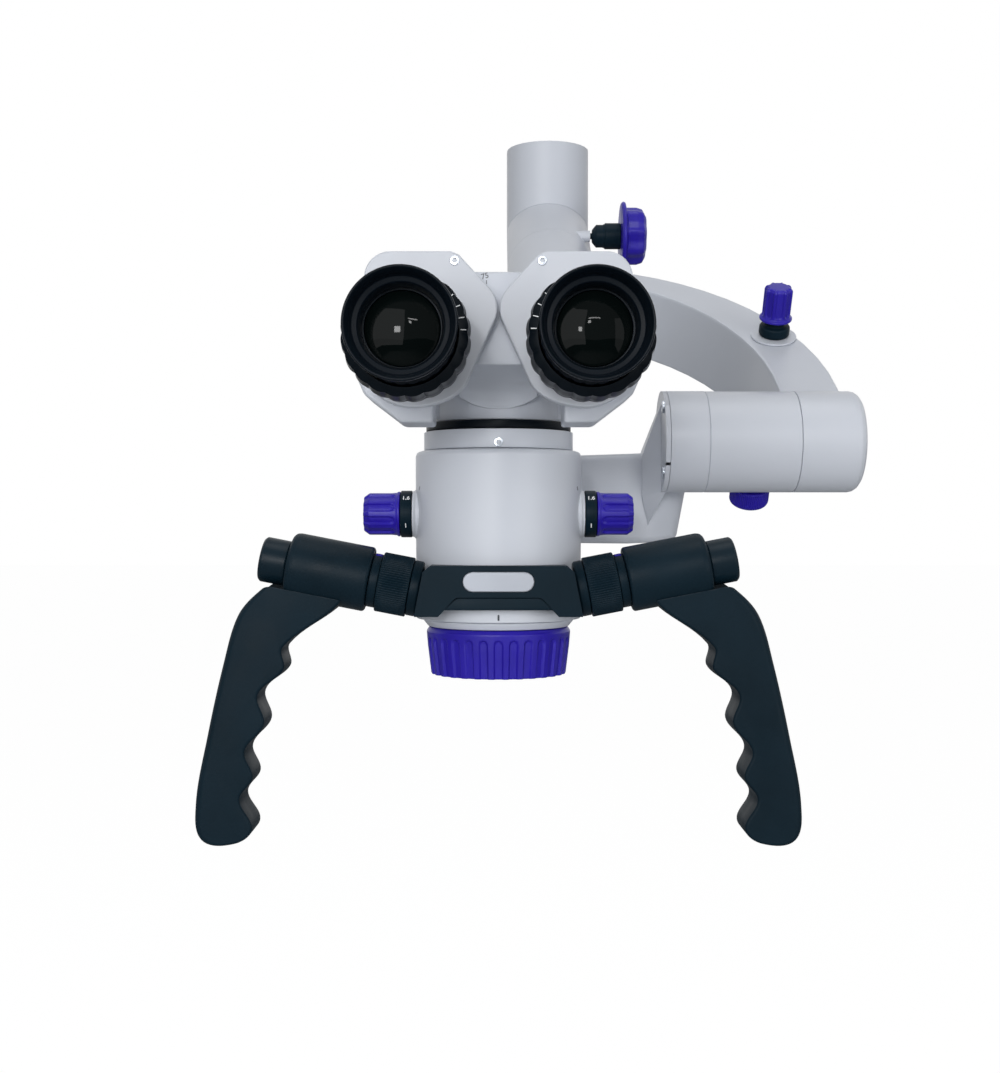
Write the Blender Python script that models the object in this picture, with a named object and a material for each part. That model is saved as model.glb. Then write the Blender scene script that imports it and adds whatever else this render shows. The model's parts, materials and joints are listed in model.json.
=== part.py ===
"""Dental surgical microscope on a C-shaped arm: column, arm, optical head, binocular and two grips.

Positions are written in head coordinates: X to the right, Y away from the operator, Z up, with the origin on
the optical axis. The scene's own origin is the centre of the column's top end. Lengths are metres.
"""

import math

import bmesh
import bpy
from mathutils import Matrix, Vector

MM = 0.001
RIGHT = Vector((1, 0, 0))
FORWARD = Vector((0, -1, 0))
SIDES = {"left": -1, "right": 1}

# Clearances, and how far a cutter runs past what it cuts
SEAT = 0.3 * MM
RUNNING = 0.3 * MM
OVERCUT = 5 * MM

# Facets of the large, middle and small round pieces
LARGE = 28
MIDDLE = 20
SMALL = 14

# Tilt joint's axis
TILT_Y = 60 * MM
TILT_Z = 37.3 * MM

# Column and elbow, whose sloping axis passes under the tilt axis
COLUMN_X = 31.4 * MM
COLUMN_Y = 298 * MM
COLUMN_TOP = 237 * MM
COLUMN_RADIUS = 26 * MM
COLUMN_WALL = 3 * MM
ELBOW_SLOPE = math.radians(33)
SLOPE_UNDER_TILT = 8.26 * MM
ELBOW_Z = TILT_Z + (COLUMN_Y - TILT_Y) * math.tan(ELBOW_SLOPE) - SLOPE_UNDER_TILT
ELBOW_LENGTH = 57 * MM
SPINDLE_RADIUS = 20 * MM
SPINDLE_DEPTH = 32 * MM
SPINDLE_CAP = 4 * MM

# Swing lock: the screw in the lug on the elbow's side
LOCK_FROM_END = 10 * MM
LOCK_DISTANCE = ELBOW_LENGTH - LOCK_FROM_END
LOCK_OFFSET = 17.5 * MM
LUG_RADIUS = 3.4 * MM
LUG_START = 15.2 * MM
LUG_END = 24 * MM
SWING_SCREW_RADIUS = 1.8 * MM
SWING_STEM_RADIUS = 7.8 * MM
SWING_STEM_END = 42.2 * MM
SWING_KNOB_RADIUS = 17.3 * MM
SWING_FLANGE_RADIUS = 20.6 * MM
SWING_KNOB_END = 57.4 * MM
SWING_KNOB_LOBES = 8

# Curved arm, in its own inclined plane
HUB_LENGTH = 80 * MM
ARM_HEIGHT = 42 * MM
ARM_STRAIGHT = 28.9 * MM
TILT_BACK = (COLUMN_Y - TILT_Y) * math.cos(ELBOW_SLOPE) + (ELBOW_Z - TILT_Z) * math.sin(ELBOW_SLOPE)
ARM_ARC_BACK = TILT_BACK - ARM_STRAIGHT
ARM_OUTER_X = 133 * MM
ARM_OUTER_Y = 148 * MM
ARM_INNER_X = 103.5 * MM
ARM_INNER_Y = 131 * MM
ARM_EDGE = 2.2 * MM
ARM_STEPS = 14

# Arm lock on the arm's top face
ARM_LOCK_X = 110.5 * MM
ARM_LOCK_BACK = ARM_ARC_BACK - 55.2 * MM
WASHER_RADIUS = 11.6 * MM
WASHER_THICKNESS = 1 * MM
ARM_COLLAR_RADIUS = 7.8 * MM
ARM_COLLAR_HEIGHT = 8.5 * MM
ARM_KNOB_RADIUS = 7.2 * MM
ARM_KNOB_FLANGE = 8.3 * MM
ARM_KNOB_HEIGHT = 18 * MM
ARM_KNOB_FLUTES = 8
ARM_SCREW_RADIUS = 2.5 * MM
ARM_SCREW_DEPTH = 12 * MM

# Tilt joint
TILT_RADIUS = 23.8 * MM
TILT_FLANGE_X = 78.5 * MM
TILT_HOUSING_X = 96.3 * MM
TILT_CAP_X = 138.7 * MM
TILT_END_X = 169 * MM
TILT_CAP_FILLET = 5 * MM
AXLE_RADIUS = 8 * MM
AXLE_DEPTH = 12 * MM
FRICTION_KNOB_X = 121 * MM
FRICTION_KNOB_RADIUS = 9.4 * MM
FRICTION_KNOB_END = 33.5 * MM
FRICTION_SCREW_RADIUS = 3 * MM
FRICTION_SCREW_DEPTH = 9 * MM
FRICTION_KNOB_FLUTES = 12

# Bracket between the tilt joint and the head
BRACKET_FRONT = 62 * MM
BRACKET_BACK = 84 * MM
BRACKET_BOTTOM = -9 * MM
BRACKET_TOP = 29 * MM
BRACKET_LEFT = -22 * MM
BRACKET_WEB_X = 68 * MM
BRACKET_RIGHT = 89 * MM
BRACKET_FOOT = 20 * MM

# Head body
BODY_RADIUS = 35.4 * MM
BODY_WALL = 3.2 * MM
BODY_TOP = 29.6 * MM
BODY_BOTTOM = -41.3 * MM
BODY_SHOULDER = 2 * MM
COLLAR_RADIUS = BODY_RADIUS - 3.6 * MM
COLLAR_HEIGHT = 7.8 * MM
DOVETAIL_RADIUS = COLLAR_RADIUS - 0.9 * MM
DOVETAIL_HEIGHT = 3.4 * MM
LIGHT_BORE = 22 * MM

# Objective end
LOWER_RING_RADIUS = BODY_RADIUS - 3.5 * MM
LOWER_RING_HEIGHT = 3 * MM
SLEEVE_RADIUS = LOWER_RING_RADIUS - 5.7 * MM
SLEEVE_LENGTH = 15 * MM
FOCUS_RADIUS = LOWER_RING_RADIUS - 1.2 * MM
FOCUS_LOW_RADIUS = FOCUS_RADIUS - 2 * MM
FOCUS_LENGTH = 20 * MM
FOCUS_BAND = 8 * MM
FOCUS_FLUTES = 24
FOCUS_FLUTE_DEPTH = 1.1 * MM
CELL_WALL = 3.4 * MM
CELL_LENGTH = 14 * MM
FOCUS_TRAVEL = 2 * MM

# Magnification changer
DIAL_Z = 3 * MM
BOSS_RADIUS = 9.8 * MM
BOSS_END = BODY_RADIUS + 1.2 * MM
DIAL_RADIUS = 10 * MM
DIAL_END = BOSS_END + 5 * MM
KNOB_RADIUS = 9.1 * MM
KNOB_END = DIAL_END + 16.4 * MM
KNOB_FLUTES = 10
DRUM_RADIUS = 20 * MM
DRUM_HALF = 22 * MM
DRUM_BORE = 6.5 * MM
DRUM_BORE_X = 11 * MM
SHAFT_RADIUS = 4 * MM
SHAFT_END = KNOB_END - 8 * MM

# Handle mount
PLATE_FRONT = -(BODY_RADIUS + 6.6 * MM)
PLATE_BACK = -14 * MM
PLATE_TOP = -17.9 * MM
PLATE_BOTTOM = -38.3 * MM
PLATE_CHAMFER = 2.5 * MM
CLAMP_WALL = 3 * MM
COVER_TOP_HALF = 16 * MM
COVER_HALF = 20.5 * MM
COVER_TOP = -32.4 * MM
COVER_BOTTOM = -39.6 * MM
COVER_THICKNESS = 2 * MM
PILL_HALF = 14.3 * MM
PILL_RADIUS = 4 * MM
PILL_Z = -24.3 * MM
PILL_THICKNESS = 0.8 * MM

# Handle arms, measured along their own sloping axes
HANDLE_X = 31.8 * MM
HANDLE_Y = -27 * MM
HANDLE_Z = -28 * MM
HANDLE_RISE = math.radians(11)
HANDLE_SHAFT_RADIUS = 6 * MM
HANDLE_SHAFT_END = 50 * MM
ROOT_RING_RADIUS = 11.4 * MM
ROOT_RING_END = 4.2 * MM
KNURL_RADIUS = 12.25 * MM
KNURL_END = 17.1 * MM
KNURL_RIBS = 24
KNURL_DEPTH = 0.35 * MM
INDEX_RADIUS = 11 * MM
INDEX_END = 20.8 * MM
HOUSING_RADIUS = 13.3 * MM
HOUSING_END = 54.9 * MM
HOUSING_ROUND = 3 * MM
CAP_RADIUS = 9.25 * MM
CAP_END = 66.1 * MM

# Grips
GRIP_HALF = 9.2 * MM
GRIP_ROUND = 3.2 * MM
GRIP_OUTLINE = [
    (62.8, -31.6), (87, -51), (86.7, -60), (97.1, -70.2), (94.6, -82), (102.4, -93), (99.2, -103.5),
    (104.5, -112.5), (100.3, -124), (108.8, -131), (120.6, -129.5), (122.6, -115), (117.8, -87),
    (111.4, -58), (105.6, -38.5), (97.5, -29), (86, -22), (66, -22),
]

# Binocular, about its tilt axis
BINO_TILT_Z = 66 * MM
BINO_DRUM_RADIUS = 20 * MM
BINO_DRUM_HALF = 19.6 * MM
BINO_BLOCK_HALF = 14 * MM
BINO_BLOCK_FRONT = -61.4 * MM
BINO_BLOCK_TOP = 96 * MM
BINO_BLOCK_BOTTOM = 60.5 * MM
BINO_BACK_HALF = 26 * MM
BINO_BACK_FRONT = -31 * MM
NECK_RADIUS = 28.1 * MM
NECK_SIDE_TOP = 58 * MM
NECK_SADDLE_RADIUS = 28 * MM
NECK_CHEEK_RADIUS = 13 * MM
NECK_PIN_RADIUS = 5 * MM

# Prism housings, about the pivots that set the pupil distance
PUPIL_HALF = 32.5 * MM
EYE_Z = 65 * MM
SWING_PIVOT_X = 12 * MM
SWING_PIVOT_Z = 80.5 * MM
PRISM_PLATE_FRONT = -70 * MM
PRISM_PLATE_BACK = -62 * MM
PRISM_BOX_BACK = -32.3 * MM
PRISM_VERTEX_RADIUS = 11.6 * MM
PRISM_LOBE_RADIUS = 24 * MM
PRISM_LOBE_START = -32
PRISM_LOBE_END = -216
PRISM_TOP = 102.3 * MM
PRISM_TOP_END = 18 * MM
PRISM_NOTCH_X = 15 * MM
PRISM_NOTCH_Z = 101 * MM
PRISM_CORNER_X = 41 * MM
PRISM_CORNER_RADIUS = 10 * MM
PRISM_CASE = [
    (34, 99), (44, 99), (50, 92), (54.9, 62), (54.9, 56), (51.7, 48.6), (37.7, 37.9), (27, 37.9), (27, 94),
]
PIVOT_PIN_RADIUS = 4 * MM
PIVOT_PIN_DEPTH = 4 * MM

# Eyepieces, measured forward from the prism plate
TUBE_RADIUS = 15 * MM
TUBE_WALL = 2.2 * MM
TUBE_FLANGE = 19 * MM
TUBE_FLANGE_THICKNESS = 4 * MM
TUBE_LENGTH = 30 * MM
TUBE_DEPTH = 4 * MM
DIOPTER_RADIUS = 21 * MM
DIOPTER_BAND = 17 * MM
DIOPTER_SCALLOPS = 12
BARREL_RADIUS = 16.6 * MM
BARREL_END = 57.5 * MM
LENS_RADIUS = 12.7 * MM
LENS_THICKNESS = 4.5 * MM
CUP_START = 34 * MM
CUP_END = 72 * MM
CUP_RIM_RADIUS = 19.3 * MM
CUP_WAIST_RADIUS = 18.4 * MM
CUP_LIP_RADIUS = 16.5 * MM
CUP_INNER_RADIUS = 14.7 * MM

ARM_DIRECTION = Vector((0, -math.cos(ELBOW_SLOPE), -math.sin(ELBOW_SLOPE)))
ARM_NORMAL = Vector((0, -math.sin(ELBOW_SLOPE), math.cos(ELBOW_SLOPE)))
ARM_TURN = Matrix.Rotation(ELBOW_SLOPE, 4, "X")
ELBOW = Vector((COLUMN_X, COLUMN_Y, ELBOW_Z))
ORIGIN = Vector((COLUMN_X, COLUMN_Y, COLUMN_TOP))
TILT_AXIS_POINT = Vector((0, TILT_Y, TILT_Z))

MATERIALS = {
    "white_enamel": ((0.78, 0.81, 0.85), 0.32, 0.0),
    "blue_plastic": ((0.045, 0.03, 0.42), 0.35, 0.0),
    "black_plastic": ((0.018, 0.021, 0.026), 0.42, 0.0),
    "black_rubber": ((0.02, 0.022, 0.025), 0.65, 0.0),
    "black_anodised": ((0.02, 0.02, 0.022), 0.3, 0.8),
    "silver_plate": ((0.72, 0.74, 0.78), 0.28, 0.9),
    "machined_steel": ((0.6, 0.61, 0.62), 0.3, 1.0),
    "coated_glass": ((0.55, 0.65, 0.62), 0.03, 0.0),
}


def material(name):
    """Makes or finds one of the named finishes."""
    if name in bpy.data.materials:
        return bpy.data.materials[name]
    colour, roughness, metallic = MATERIALS[name]
    made = bpy.data.materials.new(name)
    made.use_nodes = True
    shader = made.node_tree.nodes["Principled BSDF"]
    shader.inputs["Base Color"].default_value = (*colour, 1)
    shader.inputs["Roughness"].default_value = roughness
    shader.inputs["Metallic"].default_value = metallic
    return made


# Shape helpers


def turned(profile, facets=MIDDLE):
    """Spins (radius, height) points about Z. The outline closes on itself unless it starts and ends at Z."""
    shape = bmesh.new()
    points = [shape.verts.new((radius, 0, height)) for radius, height in profile]
    edges = [shape.edges.new(pair) for pair in zip(points, points[1:])]
    if profile[0][0] > 0 or profile[-1][0] > 0:
        edges.append(shape.edges.new((points[-1], points[0])))
    whole = 2 * math.pi
    axis = (0, 0, 1)
    bmesh.ops.spin(
        shape, geom=points + edges, cent=(0, 0, 0), axis=axis, angle=whole, steps=facets, use_merge=True
    )
    bmesh.ops.remove_doubles(shape, verts=shape.verts, dist=0.001 * MM)
    bmesh.ops.recalc_face_normals(shape, faces=shape.faces)
    return shape


def rod(radius, low, high, facets=SMALL):
    """A plain solid cylinder between two heights."""
    return turned([(0, high), (radius, high), (radius, low), (0, low)], facets)


def washer(outer, inner, low, high, edge=0.0, facets=MIDDLE):
    """A ring of rectangular section, its outer corners broken by edge."""
    profile = [(outer - edge, high), (outer, high - edge), (outer, low + edge), (outer - edge, low)]
    if not edge:
        profile = [(outer, high), (outer, low)]
    return turned([*profile, (inner, low), (inner, high)], facets)


def fluted(shape, count, depth, low, high, inside=0.0, sharpness=1.0):
    """Sinks evenly spaced grooves into the wall between two heights, outside a given radius."""
    for vertex in shape.verts:
        radius = math.hypot(vertex.co.x, vertex.co.y)
        if low <= vertex.co.z <= high and radius > inside:
            angle = math.atan2(vertex.co.y, vertex.co.x)
            groove = (0.5 - 0.5 * math.cos(count * angle)) ** sharpness
            scale = 1 - depth * groove / radius
            vertex.co.x *= scale
            vertex.co.y *= scale
    return shape


def prism(outline, low, high, edge=0.0, facets=2):
    """Raises a flat XY outline from one height to the other and rounds all the edges of both faces."""
    shape = bmesh.new()
    face = shape.faces.new([shape.verts.new((x, y, low)) for x, y in outline])
    raised = bmesh.ops.extrude_face_region(shape, geom=[face])["geom"]
    top = [g for g in raised if isinstance(g, bmesh.types.BMVert)]
    bmesh.ops.translate(shape, verts=top, vec=(0, 0, high - low))
    bmesh.ops.recalc_face_normals(shape, faces=shape.faces)
    if edge:
        rims = [e for e in shape.edges if abs(e.verts[0].co.z - e.verts[1].co.z) < 0.01 * MM]
        bmesh.ops.bevel(shape, geom=rims, offset=edge, segments=facets, profile=0.5, affect="EDGES")
    return shape


def box(low, high, edge=0.0):
    """A block between two corners with all its edges rounded."""
    shape = bmesh.new()
    size = high - low
    matrix = Matrix.Translation((low + high) / 2) @ Matrix.Diagonal((*size, 1))
    bmesh.ops.create_cube(shape, size=1, matrix=matrix)
    if edge:
        bmesh.ops.bevel(shape, geom=shape.edges[:], offset=edge, segments=2, profile=0.5, affect="EDGES")
    return shape


def arc(centre, radius, start, end, steps):
    """Points along a circle between two angles in degrees."""
    turns = [math.radians(start + (end - start) * i / steps) for i in range(steps + 1)]
    return [(centre[0] + radius * math.cos(turn), centre[1] + radius * math.sin(turn)) for turn in turns]


def along(direction):
    """The rotation that turns +Z to a direction."""
    return direction.to_track_quat("Z", "Y").to_matrix().to_4x4()


def facing():
    """The rotation that stands an XY outline up in the XZ plane, raised towards the operator."""
    return Matrix.Rotation(math.pi / 2, 4, "X")


def pivot(name, place, parent=None):
    """An empty on a joint's axis. Everything that moves with the joint hangs from it."""
    empty = bpy.data.objects.new(name, None)
    empty.empty_display_size = 0.02
    bpy.context.collection.objects.link(empty)
    empty["place"] = place
    empty.parent = parent
    empty.location = place - (Vector(parent["place"]) if parent else ORIGIN)
    return empty


def node(name, shape, finish, parent, place, turn=None, smooth=40):
    """Turns a shape into a named object at a place in head coordinates, carried by its pivot."""
    mesh = bpy.data.meshes.new(name)
    shape.to_mesh(mesh)
    shape.free()
    mesh.materials.append(material(finish))
    mesh.shade_smooth()
    mesh.set_sharp_from_angle(angle=math.radians(smooth))
    thing = bpy.data.objects.new(name, mesh)
    bpy.context.collection.objects.link(thing)
    thing.parent = parent
    thing.matrix_basis = Matrix.Translation(place - Vector(parent["place"])) @ (turn or Matrix())
    return thing


def change(thing, operation, name, shape, place, turn=None):
    """Cuts or joins a helper shape with a Boolean. The helper stays out of the render."""
    helper = node(name, shape, "machined_steel", thing.parent, place, turn)
    helper.hide_render = True
    helper.display_type = "WIRE"
    boolean = thing.modifiers.new(name, "BOOLEAN")
    boolean.operation = operation
    boolean.solver = "EXACT"
    boolean.object = helper
    return helper


# Column


def column(fixed):
    """The vertical tube, mitred where the elbow leaves it."""
    bore = COLUMN_RADIUS - COLUMN_WALL
    low = ELBOW_Z - COLUMN_TOP
    shape = turned([(COLUMN_RADIUS, 0), (COLUMN_RADIUS, low), (bore, low), (bore, 0)], LARGE)
    lean = math.tan(math.pi / 4 - ELBOW_SLOPE / 2)
    for vertex in shape.verts:
        if vertex.co.z < -1 * MM:
            vertex.co.z += SEAT / 2 - vertex.co.y * lean
    node("column_tube", shape, "white_enamel", fixed, ORIGIN)


def elbow(fixed):
    """The sloping leg under the column, bored for the arm's spindle, with a lug for the lock screw."""
    bore = SPINDLE_RADIUS + RUNNING
    floor = ELBOW_LENGTH - SPINDLE_DEPTH
    profile = [
        (0, 0), (COLUMN_RADIUS, 0), (COLUMN_RADIUS, ELBOW_LENGTH), (bore, ELBOW_LENGTH),
        (bore, floor), (0, floor)
    ]
    shape = turned(profile, LARGE)
    lean = math.tan(math.pi / 4 - ELBOW_SLOPE / 2)
    turn = along(ARM_DIRECTION)
    for vertex in shape.verts:
        if vertex.co.z < 1 * MM:
            vertex.co.z = SEAT / 2 + (turn @ vertex.co).dot(ARM_NORMAL) * lean
    leg = node("column_elbow", shape, "white_enamel", fixed, ELBOW, turn)
    lug = rod(LUG_RADIUS, LUG_START, LUG_END, 12)
    lock = lock_point()
    change(leg, "UNION", "elbow_lug", lug, lock, along(RIGHT))
    drilled = rod(SWING_SCREW_RADIUS + RUNNING, 5 * MM, LUG_END + OVERCUT, 12)
    change(leg, "DIFFERENCE", "elbow_lug_bore", drilled, lock, along(RIGHT))
    bottom = floor + SEAT
    end = ELBOW_LENGTH + HUB_LENGTH
    pin = [(0, bottom), (SPINDLE_RADIUS, bottom), (SPINDLE_RADIUS, end + SEAT), (0, end + SEAT)]
    node("swing_spindle", turned(pin, MIDDLE), "machined_steel", fixed, ELBOW, turn)
    rim = COLUMN_RADIUS - 2 * MM
    crown = [(rim, SPINDLE_CAP - 1 * MM), (rim - 1 * MM, SPINDLE_CAP), (0, SPINDLE_CAP)]
    cap = turned([(0, SEAT * 2), (rim, SEAT * 2), *crown])
    node("spindle_cap", cap, "black_plastic", fixed, ELBOW + ARM_DIRECTION * end, turn)


def lock_point():
    """Where the lock screw's axis crosses the plane through the elbow's axis."""
    return ELBOW + ARM_DIRECTION * LOCK_DISTANCE + ARM_NORMAL * LOCK_OFFSET


def swing_lock(fixed):
    """The black stem and the large blue knob that clamp the arm's spindle."""
    place = lock_point()
    turning = pivot("swing_lock_pivot", place, fixed)
    start = LUG_END + 1.2 * MM
    tip = math.sqrt(SPINDLE_RADIUS**2 - (LOCK_OFFSET - SWING_SCREW_RADIUS) ** 2) + SEAT
    stem = [
        (0, tip), (SWING_SCREW_RADIUS, tip), (SWING_SCREW_RADIUS, start), (4 * MM, start),
        (SWING_STEM_RADIUS - 1 * MM, start + 2.5 * MM), (SWING_STEM_RADIUS - 1 * MM, start + 6.5 * MM),
        (SWING_STEM_RADIUS, start + 8 * MM), (SWING_STEM_RADIUS, SWING_STEM_END), (0, SWING_STEM_END),
    ]
    node("swing_lock_stem", turned(stem, SMALL), "black_plastic", turning, place, along(RIGHT))
    low = SWING_STEM_END + SEAT
    knob = [
        (0, low), (SWING_FLANGE_RADIUS - 1 * MM, low), (SWING_FLANGE_RADIUS, low + 1.2 * MM),
        (SWING_FLANGE_RADIUS - 1 * MM, low + 2.6 * MM), (SWING_KNOB_RADIUS, low + 3 * MM),
        (SWING_KNOB_RADIUS, SWING_KNOB_END - 4 * MM),
        (SWING_KNOB_RADIUS - 1.2 * MM, SWING_KNOB_END - 1.6 * MM),
        (SWING_KNOB_RADIUS - 5 * MM, SWING_KNOB_END), (0, SWING_KNOB_END),
    ]
    shape = turned(knob, SWING_KNOB_LOBES * 4)
    fluted(shape, SWING_KNOB_LOBES, 1.8 * MM, low + 2.8 * MM, SWING_KNOB_END - 1 * MM, 13 * MM)
    node("swing_lock_knob", shape, "blue_plastic", turning, place, along(RIGHT))


# Curved arm


def arm_point(x, back, above):
    """A point of the arm's inclined plane: across, along the slope from the elbow, and above mid height."""
    return ELBOW + RIGHT * x + ARM_DIRECTION * back + ARM_NORMAL * above


def ellipse(radius_x, radius_y, start, end):
    """Points along the arm's quarter ellipse, in the arm's own XY."""
    turns = [math.radians(start + (end - start) * i / ARM_STEPS) for i in range(ARM_STEPS + 1)]
    return [(radius_x * math.cos(t), radius_y * math.sin(t) - ARM_ARC_BACK) for t in turns]


def curved_arm(swinging):
    """The C-shaped bar with the hub at its root, cut to fit the tilt joint at its end."""
    tilt = TILT_AXIS_POINT - ELBOW
    leg_end = -tilt.dot(ARM_DIRECTION) + 12 * MM
    outline = [(ARM_OUTER_X, leg_end), *ellipse(ARM_OUTER_X, ARM_OUTER_Y, 0, 90)]
    outline += [*ellipse(ARM_INNER_X, ARM_INNER_Y, 90, 0), (ARM_INNER_X, leg_end)]
    shape = prism(outline, -ARM_HEIGHT / 2, ARM_HEIGHT / 2, ARM_EDGE, 2)
    arm = node("curved_arm", shape, "white_enamel", swinging, ELBOW, ARM_TURN)
    seam = ELBOW + ARM_DIRECTION * (ELBOW_LENGTH + SEAT)
    hub = rod(COLUMN_RADIUS, 0, HUB_LENGTH - SEAT, LARGE)
    change(arm, "UNION", "arm_hub", hub, seam, along(ARM_DIRECTION))
    bore = rod(SPINDLE_RADIUS + RUNNING, -OVERCUT, HUB_LENGTH + OVERCUT, MIDDLE)
    change(arm, "DIFFERENCE", "arm_hub_bore", bore, seam, along(ARM_DIRECTION))
    seat = rod(TILT_RADIUS + SEAT, TILT_HOUSING_X, TILT_END_X + OVERCUT, LARGE)
    change(arm, "DIFFERENCE", "arm_tilt_seat", seat, TILT_AXIS_POINT, along(RIGHT))
    hole = rod(ARM_SCREW_RADIUS + RUNNING, ARM_HEIGHT / 2 - ARM_SCREW_DEPTH - 1 * MM, ARM_HEIGHT, 12)
    lock = arm_point(ARM_LOCK_X, ARM_LOCK_BACK, 0)
    change(arm, "DIFFERENCE", "arm_lock_hole", hole, lock, along(ARM_NORMAL))


def arm_lock(swinging):
    """Washer, black collar and blue knob of the lock on the arm's top face."""
    face = arm_point(ARM_LOCK_X, ARM_LOCK_BACK, ARM_HEIGHT / 2)
    turn = along(ARM_NORMAL)
    bore = ARM_SCREW_RADIUS + RUNNING
    ring = washer(WASHER_RADIUS, bore, SEAT, SEAT + WASHER_THICKNESS, 0.3 * MM)
    node("arm_lock_washer", ring, "machined_steel", swinging, face, turn)
    turning = pivot("arm_lock_pivot", face, swinging)
    low = SEAT * 2 + WASHER_THICKNESS
    top = low + ARM_COLLAR_HEIGHT
    collar = [
        (0, -ARM_SCREW_DEPTH), (ARM_SCREW_RADIUS, -ARM_SCREW_DEPTH), (ARM_SCREW_RADIUS, low),
        (ARM_COLLAR_RADIUS - 0.6 * MM, low), (ARM_COLLAR_RADIUS, low + 1 * MM),
        (ARM_COLLAR_RADIUS, low + 4.5 * MM),
        (ARM_COLLAR_RADIUS - 1.4 * MM, low + 5.2 * MM), (ARM_COLLAR_RADIUS - 1.4 * MM, top), (0, top),
    ]
    node("arm_lock_collar", turned(collar, SMALL), "black_plastic", turning, face, turn)
    low = top + SEAT
    high = top + ARM_KNOB_HEIGHT
    knob = [
        (0, low), (ARM_KNOB_FLANGE - 0.6 * MM, low), (ARM_KNOB_FLANGE, low + 1 * MM),
        (ARM_KNOB_FLANGE, low + 2.4 * MM), (ARM_KNOB_RADIUS, low + 3.2 * MM),
        (ARM_KNOB_RADIUS, high - 1.6 * MM),
        (ARM_KNOB_RADIUS - 1.5 * MM, high), (0, high),
    ]
    shape = turned(knob, ARM_KNOB_FLUTES * 3)
    fluted(shape, ARM_KNOB_FLUTES, 1.1 * MM, low + 2.8 * MM, high - 1 * MM, 5 * MM, 1.5)
    node("arm_lock_knob", shape, "blue_plastic", turning, face, turn)


def tilt_joint(swinging):
    """The arm's half of the tilt cylinder: housing, end cap and the friction knob under them."""
    bore = AXLE_RADIUS + RUNNING
    turn = along(RIGHT)
    housing = washer(TILT_RADIUS, bore, TILT_HOUSING_X + SEAT / 2, TILT_CAP_X - SEAT / 2, 0.4 * MM, LARGE)
    middle = node("tilt_housing", housing, "white_enamel", swinging, TILT_AXIS_POINT, turn)
    down = -ARM_NORMAL
    centre = TILT_AXIS_POINT + RIGHT * FRICTION_KNOB_X
    hole_end = TILT_RADIUS - FRICTION_SCREW_DEPTH - 1 * MM
    hole = rod(FRICTION_SCREW_RADIUS + RUNNING, hole_end, TILT_RADIUS + OVERCUT, 12)
    change(middle, "DIFFERENCE", "friction_screw_hole", hole, centre, along(down))
    fillet = arc((TILT_RADIUS - TILT_CAP_FILLET, TILT_END_X - TILT_CAP_FILLET), TILT_CAP_FILLET, 0, 90, 4)
    cap = [(bore, TILT_CAP_X + SEAT / 2), (TILT_RADIUS, TILT_CAP_X + SEAT / 2), *fillet, (0, TILT_END_X)]
    cap += [(0, TILT_END_X - AXLE_DEPTH), (bore, TILT_END_X - AXLE_DEPTH)]
    node("tilt_end_cap", turned(cap, LARGE), "white_enamel", swinging, TILT_AXIS_POINT, turn)
    turning = pivot("friction_knob_pivot", centre, swinging)
    low = TILT_RADIUS + SEAT
    tip = TILT_RADIUS - FRICTION_SCREW_DEPTH
    knob = [
        (0, tip), (FRICTION_SCREW_RADIUS, tip), (FRICTION_SCREW_RADIUS, low),
        (FRICTION_KNOB_RADIUS - 0.8 * MM, low),
        (FRICTION_KNOB_RADIUS, low + 0.8 * MM), (FRICTION_KNOB_RADIUS, FRICTION_KNOB_END - 1.4 * MM),
        (FRICTION_KNOB_RADIUS - 1.4 * MM, FRICTION_KNOB_END), (0, FRICTION_KNOB_END),
    ]
    shape = turned(knob, FRICTION_KNOB_FLUTES * 3)
    fluted(shape, FRICTION_KNOB_FLUTES, 0.7 * MM, low + 0.5 * MM, FRICTION_KNOB_END - 1 * MM, 7 * MM, 1.5)
    node("tilt_friction_knob", shape, "blue_plastic", turning, centre, along(down))


# Head


def tilt_flange(head):
    """The head's half of the tilt cylinder, with the axle that runs in the arm's half."""
    turn = along(RIGHT)
    bore = AXLE_RADIUS + SEAT
    flange = washer(TILT_RADIUS, bore, TILT_FLANGE_X + SEAT, TILT_HOUSING_X - SEAT / 2, 0.4 * MM, LARGE)
    node("tilt_flange", flange, "white_enamel", head, TILT_AXIS_POINT, turn)
    axle = rod(AXLE_RADIUS, TILT_FLANGE_X + 2 * SEAT, TILT_END_X - AXLE_DEPTH - SEAT)
    node("tilt_axle", axle, "machined_steel", head, TILT_AXIS_POINT, turn)


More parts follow.
